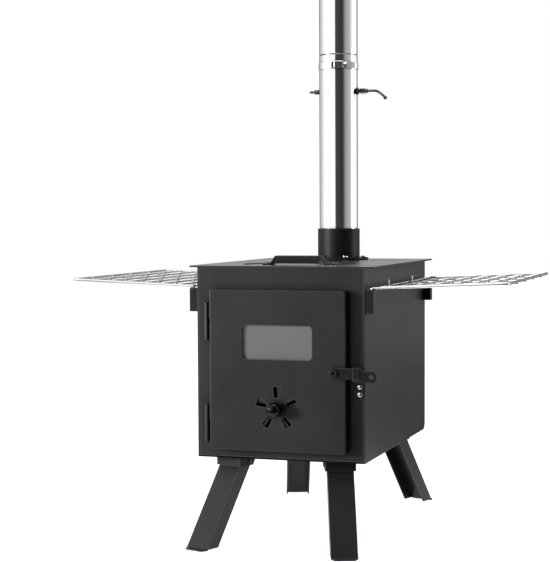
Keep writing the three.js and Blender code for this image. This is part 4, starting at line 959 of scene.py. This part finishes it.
def wire(path, radius, sides=12):
    """A round wire along a path: at each point a circle of the radius, square to the path, and
    past each end smaller circles on a quarter ellipse that close it with a dome."""
    path = np.asarray(path, dtype=float)
    along = np.gradient(path, axis=0)
    along /= np.linalg.norm(along, axis=1)[:, None]
    lean = np.array([0.37, 0.55, 0.75])
    side = np.cross(along, lean)
    side /= np.linalg.norm(side, axis=1)[:, None]
    up = np.cross(side, along)
    dome = np.radians([30, 60, 90])
    rows = np.concatenate([np.zeros(3, dtype=int), np.arange(len(path)), np.full(3, len(path) - 1)])
    out = np.concatenate([-np.sin(dome[::-1]), np.zeros(len(path)), np.sin(dome)]) * radius * dome_share
    reach = np.concatenate([np.cos(dome[::-1]), np.ones(len(path)), np.cos(dome)]) * radius
    a = np.linspace(0, 2 * pi, sides, endpoint=False)
    circle = np.cos(a)[None, :, None] * side[rows][:, None] + np.sin(a)[None, :, None] * up[rows][:, None]
    points = (path[rows] + along[rows] * out[:, None])[:, None] + circle * reach[:, None, None]
    return points.reshape(-1, 3), lattice(len(rows), sides, round_columns=True)


def ball(centre, radius, sides=32):
    """A sphere as a turned half circle."""
    a = np.linspace(-pi / 2, pi / 2, sides // 2)
    half_circle = radius * np.column_stack([np.cos(a), np.sin(a)])
    return turned(half_circle, centre, sides, open_profile=True)


def in_damper(shape):
    """A shape drawn on the damper's own axes, put where the damper stands at rest."""
    return moved(shape, spin("X", damper_tilt), damper_centre)


disc_outline = [(0, -disc_half), (disc_radius, -disc_half), (disc_radius, disc_half), (0, disc_half)]
disc_profile = rounded(disc_outline, [0, 0.0003, 0.0003, 0], 4)[2:-2]
disc = turned(disc_profile, (0, 0, 0), 96, open_profile=True)
sleeve_ends = [(x, 0, 0) for x in (-sleeve_end, -0.0220, 0.0220, sleeve_end)]
disc_sleeve = wire(sleeve_ends, sleeve_radius, 24)
place_piece(
    "damper_disc",
    in_damper(join(disc, disc_sleeve)),
    stainless,
    ["damper_plate"],
    merge=1e-7,
    steady=True,
)

# The crank is a curve of the fourth degree through its first and last points.
arm = np.array([
    (0.058, 0, 0),
    (0.061, 0.0006, 0),
    (0.0645, 0.004, 0),
    (0.067, 0.013, 0),
    (knob_out, knob_up, 0),
])
t = np.linspace(0, 1, 25)[:, None]
weights = [(1 - t) ** 4, 4 * t * (1 - t) ** 3, 6 * t**2 * (1 - t) ** 2, 4 * t**3 * (1 - t), t**4]
crank = sum(weight * point for weight, point in zip(weights, arm))
rod_path = np.concatenate([[(rod_end, 0, 0), (-0.040, 0, 0), (0, 0, 0), (0.050, 0, 0)], crank])
far_nut = moved(nut((0, 0, 0), -0.0385, -0.0320, 0.0068), lying)
stop_profile = rounded([(0.0018, 0.0449), (0.0036, 0.0449), (0.0036, 0.0465), (0.0018, 0.0465)], 0.0003, 4)
stop = moved(turned(held(stop_profile), (0, 0, 0), 32), lying)
rod = join(wire(rod_path, rod_radius, 16), far_nut, stop, ball((knob_out, knob_up, 0), knob_round))
place_piece("damper_crank", in_damper(rod), damper_steel, ["damper_rod"], steady=True)
washer_corners = [(0.0023, 0.0308), (0.0056, 0.0308), (0.0056, 0.0317), (0.0033, 0.0334), (0.0023, 0.0334)]
washer = turned(rounded(washer_corners, 0.0003, 4), (0, 0, 0), 36)
place_piece("damper_cup", in_damper(moved(washer, lying)), damper_steel, ["damper_washer"])
t = np.linspace(0, 1, coil_turns * 28 + 1)
coil = np.column_stack([
    coil_start + (coil_end - coil_start) * t,
    coil_radius * np.cos(2 * pi * coil_turns * t),
    coil_radius * np.sin(2 * pi * coil_turns * t),
])
place_piece("damper_coil", in_damper(wire(coil, coil_wire, 8)), damper_steel, ["damper_spring"])

# ------------------------------------------------------------------ spark arrestor
# The top section: a short tube with five rows of punched holes that let smoke out and keep
# sparks in, and a pressed cap a little below its rim.
arrestor_low, arrestor_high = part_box("spark_arrestor")
arrestor_length = arrestor_high[2] - arrestor_low[2]
hole_radius = 0.00365
hole_columns, hole_rows = 12, 5
row_pitch = 0.015
first_row = 0.027
steps_round_hole = 48
cap_drop = 0.004

# One cell: circles round the hole that widen into the cell's own rectangle.
a = np.arange(steps_round_hole) * 2 * pi / steps_round_hole
cell_half = np.array([pi / hole_columns, row_pitch / 2])
square = np.column_stack([np.cos(a), np.sin(a)]) / np.maximum(abs(np.cos(a)), abs(np.sin(a)))[:, None]
inside = np.column_stack([np.cos(a) / tube_radius, np.sin(a)]) * hole_radius
blend = np.array([0, 0.12, 0.45, 1])[:, None, None]
cell = inside * (1 - blend) + square * cell_half * blend
middles = np.array([
    ((column + 0.25) * 2 * pi / hole_columns, arrestor_length - first_row - row * row_pitch)
    for row in range(hole_rows)
    for column in range(hole_columns)
])
cells = middles[:, None, None] + cell
cell_faces = lattice(4, steps_round_hole, round_columns=True)
starts = np.arange(len(middles)) * 4 * steps_round_hole
punched = cells.reshape(-1, 2), (cell_faces[None] + starts[:, None, None]).reshape(-1, 4)

# Plain tube above and below, on the same columns as the cells' edges.
top_edge = np.sort(square[abs(square[:, 1] - 1) < 1e-9, 0])[:-1] * cell_half[0]
column_turns = (middles[:hole_columns, 0][:, None] + top_edge).ravel()
cells_high = arrestor_length - first_row + row_pitch / 2
cells_low = cells_high - hole_rows * row_pitch


def plain_tube(profile):
    """Rows of (radius, height) round the same columns, as points and faces."""
    profile = np.asarray(profile, dtype=float)
    points = np.empty((len(profile), len(column_turns), 3))
    points[..., 0] = flue_centre[0] + profile[:, :1] * np.cos(column_turns)
    points[..., 1] = flue_centre[1] + profile[:, :1] * np.sin(column_turns)
    points[..., 2] = arrestor_low[2] + profile[:, 1:]
    return points.reshape(-1, 3), lattice(len(profile), len(column_turns), round_columns=True)


punched_points = np.column_stack([
    flue_centre[0] + tube_radius * np.cos(punched[0][:, 0]),
    flue_centre[1] + tube_radius * np.sin(punched[0][:, 0]),
    arrestor_low[2] + punched[0][:, 1],
])
below = np.concatenate([
    [(spigot_radius, 0.0), (spigot_radius, 0.0006), (spigot_radius, spigot_length - 0.0006)],
    shoulder(spigot_radius, tube_radius),
    [(tube_radius, spigot_length + draw_length + 0.0008), (tube_radius, cells_low)],
])
above = [(tube_radius, cells_high), (tube_radius, arrestor_length)]
cap_radius = tube_radius - tube_wall - 0.0001
cap_high = arrestor_length - cap_drop
cap = turned(
    held(rounded(
        [(0, cap_high - 0.0012), (cap_radius, cap_high - 0.0012), (cap_radius, cap_high), (0, cap_high)],
        [0, 0.0005, 0.0005, 0],
        4,
    ))[1:-1],
    (flue_centre[0], flue_centre[1], arrestor_low[2]),
    96,
    open_profile=True,
)
shell = place_piece(
    "arrestor_tube",
    join((punched_points, punched[1]), plain_tube(below), plain_tube(above)),
    stainless,
    ["spark_arrestor"],
    merge=2e-5,
)
sheet_wall = shell.modifiers.new("sheet", "SOLIDIFY")
sheet_wall.thickness = tube_wall
sheet_wall.offset = -1
sheet_wall.use_even_offset = True
place_piece("arrestor_cap", cap, stainless, ["spark_arrestor"], merge=1e-7)

# A ring of strip steel is pressed on the arrestor below the holes. Its two ears are each
# punched with an eye for a guy line.
ring_high = 0.010
ring_wall = 0.0012
eye_reach, eye_outer, eye_hole = 0.045, 0.011, 0.0065
ear_half = 0.001
ring_inner = tube_radius + 0.0003
guy_centre = (flue_centre[0], flue_centre[1], middle_of("arrestor_ring")[2])
guy_band = turned(
    held(rounded(
        [
            (ring_inner, -ring_high),
            (ring_inner + ring_wall, -ring_high),
            (ring_inner + ring_wall, ring_high),
            (ring_inner, ring_high),
        ],
        0.0003,
        4,
    )),
    (0, 0, 0),
    128,
)
a = np.linspace(-pi / 2, pi / 2, 33)
ear_outline = np.concatenate([
    [(ring_inner + ring_wall / 2, -ring_high)],
    np.column_stack([eye_reach + eye_outer * np.cos(a), eye_outer * np.sin(a)]),
    [(ring_inner + ring_wall / 2, ring_high)],
])
# Flat sheets lie in X and Y. This matrix stands them up, with their face towards the door.
upright = np.array([[1, 0, 0], [0, 0, -1], [0, 1, 0]])
ear = moved(
    outline_sheet([ear_outline, ring_points((eye_reach, 0), eye_hole, 48)], 2 * ear_half, 0.0004),
    upright,
    (0, ear_half, 0),
)
guy_ring = join(guy_band, ear, moved(ear, spin("Z", pi)))
place_piece("guy_ring", moved(guy_ring, shift=guy_centre), stainless, ["arrestor_ring"], steady=True)

# ------------------------------------------------------------------ door
# A shallow tray of the same sheet with rounded folds, cut for the window and the air vent and
# hung on two lift-off hinges. A frame inside clamps the pane against it.
softened("door_panel", heat_paint, edge=0.0004, segments=3)
softened("window_retainer", heat_paint, edge=0.0003)

# The pane is grey heat glass, set back in its opening. Smoke haze makes it look almost solid.
pane_finish, tree = new_material("stove window")
where = add_node(tree, "TexCoord").outputs["Object"]
haze = add_node(tree, "TexNoise", {"Vector": where, "Scale": 24.0, "Detail": 4.0}).outputs["Fac"]
veil = add_node(
    tree,
    "Mix",
    {"Factor": haze, "A": (0.138, 0.131, 0.138, 1), "B": (0.149, 0.141, 0.149, 1)},
    data_type="RGBA",
)
film = add_node(tree, "MapRange", {"Value": haze, "To Min": 0.06, "To Max": 0.20})
surface = add_node(tree, "BsdfPrincipled", {
    "Base Color": veil.outputs["Result"],
    "Roughness": film.outputs["Result"],
    "Specular IOR Level": 0.4,
})
add_node(tree, "OutputMaterial", {"Surface": surface.outputs[0]})
glass_low, glass_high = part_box("window_glass")
glass_set_back = 0.0016
pane_low = (glass_low[0], glass_low[1] + glass_set_back, glass_low[2])
pane = slab(pane_low, glass_high, 0.0004, axis=1)
place_piece("window_pane", pane, pane_finish, ["window_glass"], steady=True)

# ------------------------------------------------------------------ air vent
# A slotted disc turns behind five slots in the door. A black ball screwed on its spindle turns
# it, and a nut inside keeps it on.
ball_colour = (0.0022, 0.0019, 0.0024)
ball_finish = sprayed(
    "glossy black ball", ball_colour, roughness=0.13, gloss=0.24, dimple=200, depth=0.00001
)
knob_low, knob_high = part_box("vent_knob")
ball_radius = (knob_high[0] - knob_low[0]) / 2
neck_radius = 0.006
vent_x, _, vent_z = middle_of("vent_knob")
ball_reach = knob_high[1] - knob_low[1]
a = np.linspace(np.arcsin(neck_radius / ball_radius), pi, 28)
ball_arc = np.column_stack([ball_radius * np.sin(a), ball_reach - ball_radius - ball_radius * np.cos(a)])
neck = [(0, 0), (neck_radius - 0.0004, 0), (neck_radius, 0.0004), (neck_radius, ball_arc[0, 1] - 0.0004)]
knob = turned(np.concatenate([neck, ball_arc]), (0, 0, 0), 56, open_profile=True)
knob = moved(knob, upright, (vent_x, knob_high[1], vent_z))
place_piece("vent_ball", knob, ball_finish, ["vent_knob"], merge=1e-7)
softened("vent_disc", heat_paint, edge=0.0002)
softened("vent_spindle", plated, edge=0.0002)

# ------------------------------------------------------------------ hinges
# Each hinge is two barrels of bar, one welded to the firebox and one to the door, on a steel
# pin. The door lifts off them when it is open.
barrel_radius, barrel_chamfer, dome_rise = 0.004, 0.0004, 0.0015
strap_half, strap_edge = 0.002, 0.0004


def barrel(low, high, domed):
    """A turned bar between two heights. Its top is a quarter ellipse or a small chamfer."""
    rise = dome_rise if domed else barrel_chamfer
    top = high - low - rise
    a = np.linspace(0, pi / 2, 8)
    crown = np.column_stack([barrel_radius * np.cos(a), top + rise * np.sin(a)])
    if not domed:
        crown = np.array([(barrel_radius, top), (barrel_radius - rise, high - low), (0, high - low)])
    foot = [(0, 0), (barrel_radius - barrel_chamfer, 0), (barrel_radius, barrel_chamfer)]
    foot += [(barrel_radius, 3 * barrel_chamfer)]
    profile = np.concatenate([foot, [(barrel_radius, top - 0.0006)], crown])
    return turned(profile, (0, 0, low), 32, open_profile=True)


for place in ("upper", "lower"):
    body_low, body_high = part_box(f"hinge_{place}_body_half")
    door_low, door_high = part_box(f"hinge_{place}_door_half")
    x, y = body_low[0] + barrel_radius, body_low[1] + barrel_radius
    lower_barrel = moved(barrel(body_low[2], body_high[2], False), shift=(x, y, 0))
    upper_barrel = moved(barrel(door_low[2], door_high[2], True), shift=(x, y, 0))
    to_body = slab(
        (x - strap_half, y, body_low[2]),
        (x + strap_half, body_high[1], body_high[2]),
        strap_edge,
    )
    to_door = slab(
        (x, y - strap_half, door_low[2]),
        (door_high[0], y + strap_half, door_high[2] - dome_rise),
        strap_edge,
    )
    halves = [("low", "body", join(lower_barrel, to_body)), ("high", "door", join(upper_barrel, to_door))]
    for level, side, half in halves:
        place_piece(
            f"hinge_{place}_knuckle_{level}",
            half,
            heat_paint,
            [f"hinge_{place}_{side}_half"],
            merge=1e-7,
            steady=True,
        )
    softened(f"hinge_{place}_pin", plated, edge=0.0002)

# ------------------------------------------------------------------ latch
# A lever of flat bar turns on a bolt in the door and comes down over a bent keeper that two
# bright screws hold to the firebox. Its tab has a hole for a lanyard.
lever_low, lever_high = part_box("latch_lever")
pivot_low, pivot_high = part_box("latch_pivot_bolt")
pivot = middle_of("latch_pivot_bolt")[[0, 2]]
lever_thickness = 0.0025
bar_half = 0.008
tab_start, tab_drop, tab_round = 0.124, 0.0038, 0.006
lever_back = lever_low[1] + 0.0045
tab_slant, tab_hole_in, tab_hole_radius, pivot_hole = 0.003, 0.0075, 0.0027, 0.0033
tab_hole = (lever_high[0] - tab_hole_in, pivot[1] - tab_drop)
a = np.linspace(pi / 2, 3 * pi / 2, 24)
lever_outline = np.concatenate([
    np.column_stack([pivot[0] + bar_half * np.cos(a), pivot[1] + bar_half * np.sin(a)]),
    rounded(
        [
            (tab_start - tab_slant, pivot[1] - bar_half),
            (tab_start, pivot[1] - bar_half - tab_drop),
            (lever_high[0], pivot[1] - bar_half - tab_drop),
            (lever_high[0], pivot[1] + bar_half - tab_drop),
            (tab_start, pivot[1] + bar_half - tab_drop),
            (tab_start - tab_slant, pivot[1] + bar_half),
        ],
        [0.001, 0.001, tab_round, tab_round, 0.001, 0.001],
        8,
    ),
])
lever_holes = [ring_points(pivot, pivot_hole, 32), ring_points(tab_hole, tab_hole_radius, 32)]
lever_bar = moved(
    outline_sheet([lever_outline, *lever_holes], lever_thickness, 0.0005, 3),
    upright,
    (0, lever_back, 0),
)
nose_low, nose_high = 0.110, 0.120
nose = slab(
    (nose_low, lever_low[1], pivot[1] - bar_half),
    (nose_high, lever_low[1] + lever_thickness, lever_high[2]),
    0.0006,
    axis=1,
)
place_piece("latch_bar", join(lever_bar, nose), fitting_paint, ["latch_lever"], steady=True)

# The lever's bolt: a cap head in front, a thin spacer behind the bar and a nut inside the door.
pivot_head_radius, pivot_shank_radius, pivot_head_height = 0.0056, 0.003, 0.003
spacer_radius, spacer_low, spacer_high = 0.005, 0.0003, 0.0012
door_face = -0.199
inner_nut_height, inner_nut_flats, inner_nut_behind = 0.004, 0.010, 0.001
bolt_front, bolt_back = pivot_low[1], pivot_high[1]
latch_bolt = socket_bolt(
    (0, 0, 0), bolt_front - bolt_back, -pivot_head_height, 0.0, pivot_head_radius, pivot_shank_radius
)
latch_bolt = moved(latch_bolt, upright, (pivot[0], bolt_front, pivot[1]))
spacer_profile = rounded(
    [
        (pivot_shank_radius, spacer_low),
        (spacer_radius, spacer_low),
        (spacer_radius, spacer_high),
        (pivot_shank_radius, spacer_high),
    ],
    0.0002,
    3,
)
spacer = moved(
    turned(held(spacer_profile, 0.0002), (0, 0, 0), 32),
    upright,
    (pivot[0], door_face, pivot[1]),
)
inner_nut = moved(
    nut((0, 0, 0), 0.0, inner_nut_height, inner_nut_flats),
    upright,
    (pivot[0], bolt_back - inner_nut_behind, pivot[1]),
)
place_piece(
    "latch_bolt",
    join(latch_bolt, spacer, inner_nut),
    ball_finish,
    ["latch_pivot_bolt"],
    steady=True,
)
softened("latch_keeper", fitting_paint, edge=0.0003)

# The keeper's screws have low domed heads.
screw_shank, screw_point, screw_neck = 0.0016, 0.0014, -0.003
dome_foot, dome_height = 0.0005, 0.0013
screw_head = dome_foot + dome_height
for k in (1, 2):
    low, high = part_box(f"keeper_screw_{k}")
    x, _, z = middle_of(f"keeper_screw_{k}")
    radius = (high[0] - low[0]) / 2
    end = low[1] - high[1] + screw_head
    a = np.linspace(0, pi / 2, 9)
    dome = np.column_stack([radius * np.cos(a), dome_foot + dome_height * np.sin(a)])
    shank = [(0, end), (screw_point, end), (screw_shank, screw_neck), (screw_shank, 0), (radius, 0)]
    screw = turned(np.concatenate([shank, dome]), (0, 0, 0), 32, open_profile=True)
    place_piece(
        f"keeper_bolt_{k}",
        moved(screw, upright, (x, low[1] + screw_head, z)),
        plated,
        [f"keeper_screw_{k}"],
        merge=1e-7,
        steady=True,
    )

# ------------------------------------------------------------------ side racks
# Each rack is bright steel wire, welded where it crosses: a heavier frame that hooks into two
# brackets, seven long wires on it and four cross wires under them. Two short ends turn up.
wire_stretch = (200.0, 200.0, 200.0)
wire_finish = polished("bright wire", (0.92, 0.92, 0.92), roughness=0.10, stretch=wire_stretch, waviness=0.2)
rack_start, rack_width, rack_half = 0.132, 0.184, 0.176
rack_level, rack_rise = 0.3625, 0.008
frame_radius, bar_radius = 0.002, 0.0015
hook_x, hook_low, hook_top = 0.1297, 0.3385, 0.3595
elbow_run, corner_run = 0.003, 0.007
long_wires = 7
cross_places = (-0.1056, -0.0352, 0.0352, 0.1056)
cross_past_inner, cross_past_outer = 0.002, 0.001
end_places, end_out, end_low, end_high, end_radius = (-0.1056, 0.0352), 0.0036, 0.0024, 0.0079, 0.0011


def on_rack(out, along, lift=0.0):
    """A point of the right-hand rack: how far out from its inner wire, and how far along."""
    return np.array([rack_start + out, along, rack_level + rack_rise * out / rack_width + lift])


def bend(a, b, c, steps=9):
    """Points of the parabola that leaves a towards b and reaches c from b."""
    t = np.linspace(0, 1, steps)[:, None]
    return (1 - t) ** 2 * a + 2 * t * (1 - t) * b + t**2 * c


def run(a, b, spacing=0.012):
    """Points on a straight line, close enough together that the wire's shading stays even."""
    steps = max(int(np.linalg.norm(b - a) / spacing), 2)
    return a + (b - a) * np.linspace(0, 1, steps)[:, None]


hook_out = hook_x - rack_start
halves = []
for way in (-1, 1):
    y = way * rack_half
    hook = np.array([hook_x, y, hook_top])
    elbow = bend(hook, on_rack(hook_out, y), on_rack(hook_out + elbow_run, y))
    corner = bend(
        on_rack(rack_width - corner_run, y),
        on_rack(rack_width, y),
        on_rack(rack_width, y - way * corner_run),
    )
    half = [run(np.array([hook_x, y, hook_low]), hook)[:-1], elbow]
    half += [run(elbow[-1], corner[0])[1:-1], corner]
    halves.append(np.concatenate(half))
frame_path = np.concatenate([halves[0], run(halves[0][-1], halves[1][-1])[1:-1], halves[1][::-1]])
wires = [wire(frame_path, frame_radius, 12)]
for k in range(long_wires):
    out = rack_width * k / long_wires
    wires.append(wire(run(on_rack(out, -rack_half), on_rack(out, rack_half)), bar_radius, 10))
for y in cross_places:
    drop = -1.5 * bar_radius
    cross = run(on_rack(-cross_past_inner, y, drop), on_rack(rack_width + cross_past_outer, y, drop))
    wires.append(wire(cross, bar_radius, 10))
for y in end_places:
    heights = (-end_low, 0.0, 0.004, end_high)
    wires.append(wire([on_rack(end_out, y) + (0, 0, lift) for lift in heights], end_radius, 10))
right_rack = join(*wires)
left_rack = moved(right_rack, np.diag([-1, 1, 1]))
place_piece("wire_rack_right", right_rack, wire_finish, ["side_rack_right"], merge=1e-7)
place_piece("wire_rack_left", left_rack, wire_finish, ["side_rack_left"], merge=1e-7)

# The racks hang in channels of bent strip, spot-welded to the side walls. Their darker
# fittings paint is partly painted shade on their front walls.
for end in ("front", "rear"):
    for side in ("left", "right"):
        softened(f"rack_bracket_{end}_{side}", fitting_paint, edge=0.0004)

# ------------------------------------------------------------------ folding legs
# Each leg is a channel of bent sheet with a flat foot. It turns on a riveted pin between the
# ears of a bracket under the floor, and leans on the bracket's front wall when it is out.
for end in ("front", "rear"):
    for side in ("left", "right"):
        softened(f"leg_{end}_{side}", heat_paint, edge=0.0005, segments=3)
        # The leg brackets take the darker, duller collar paint, partly as painted shade on their fronts.
        softened(f"leg_bracket_{end}_{side}", collar_paint, edge=0.0005, segments=3)
        softened(f"leg_pin_{end}_{side}", fitting_paint, edge=0.0003)
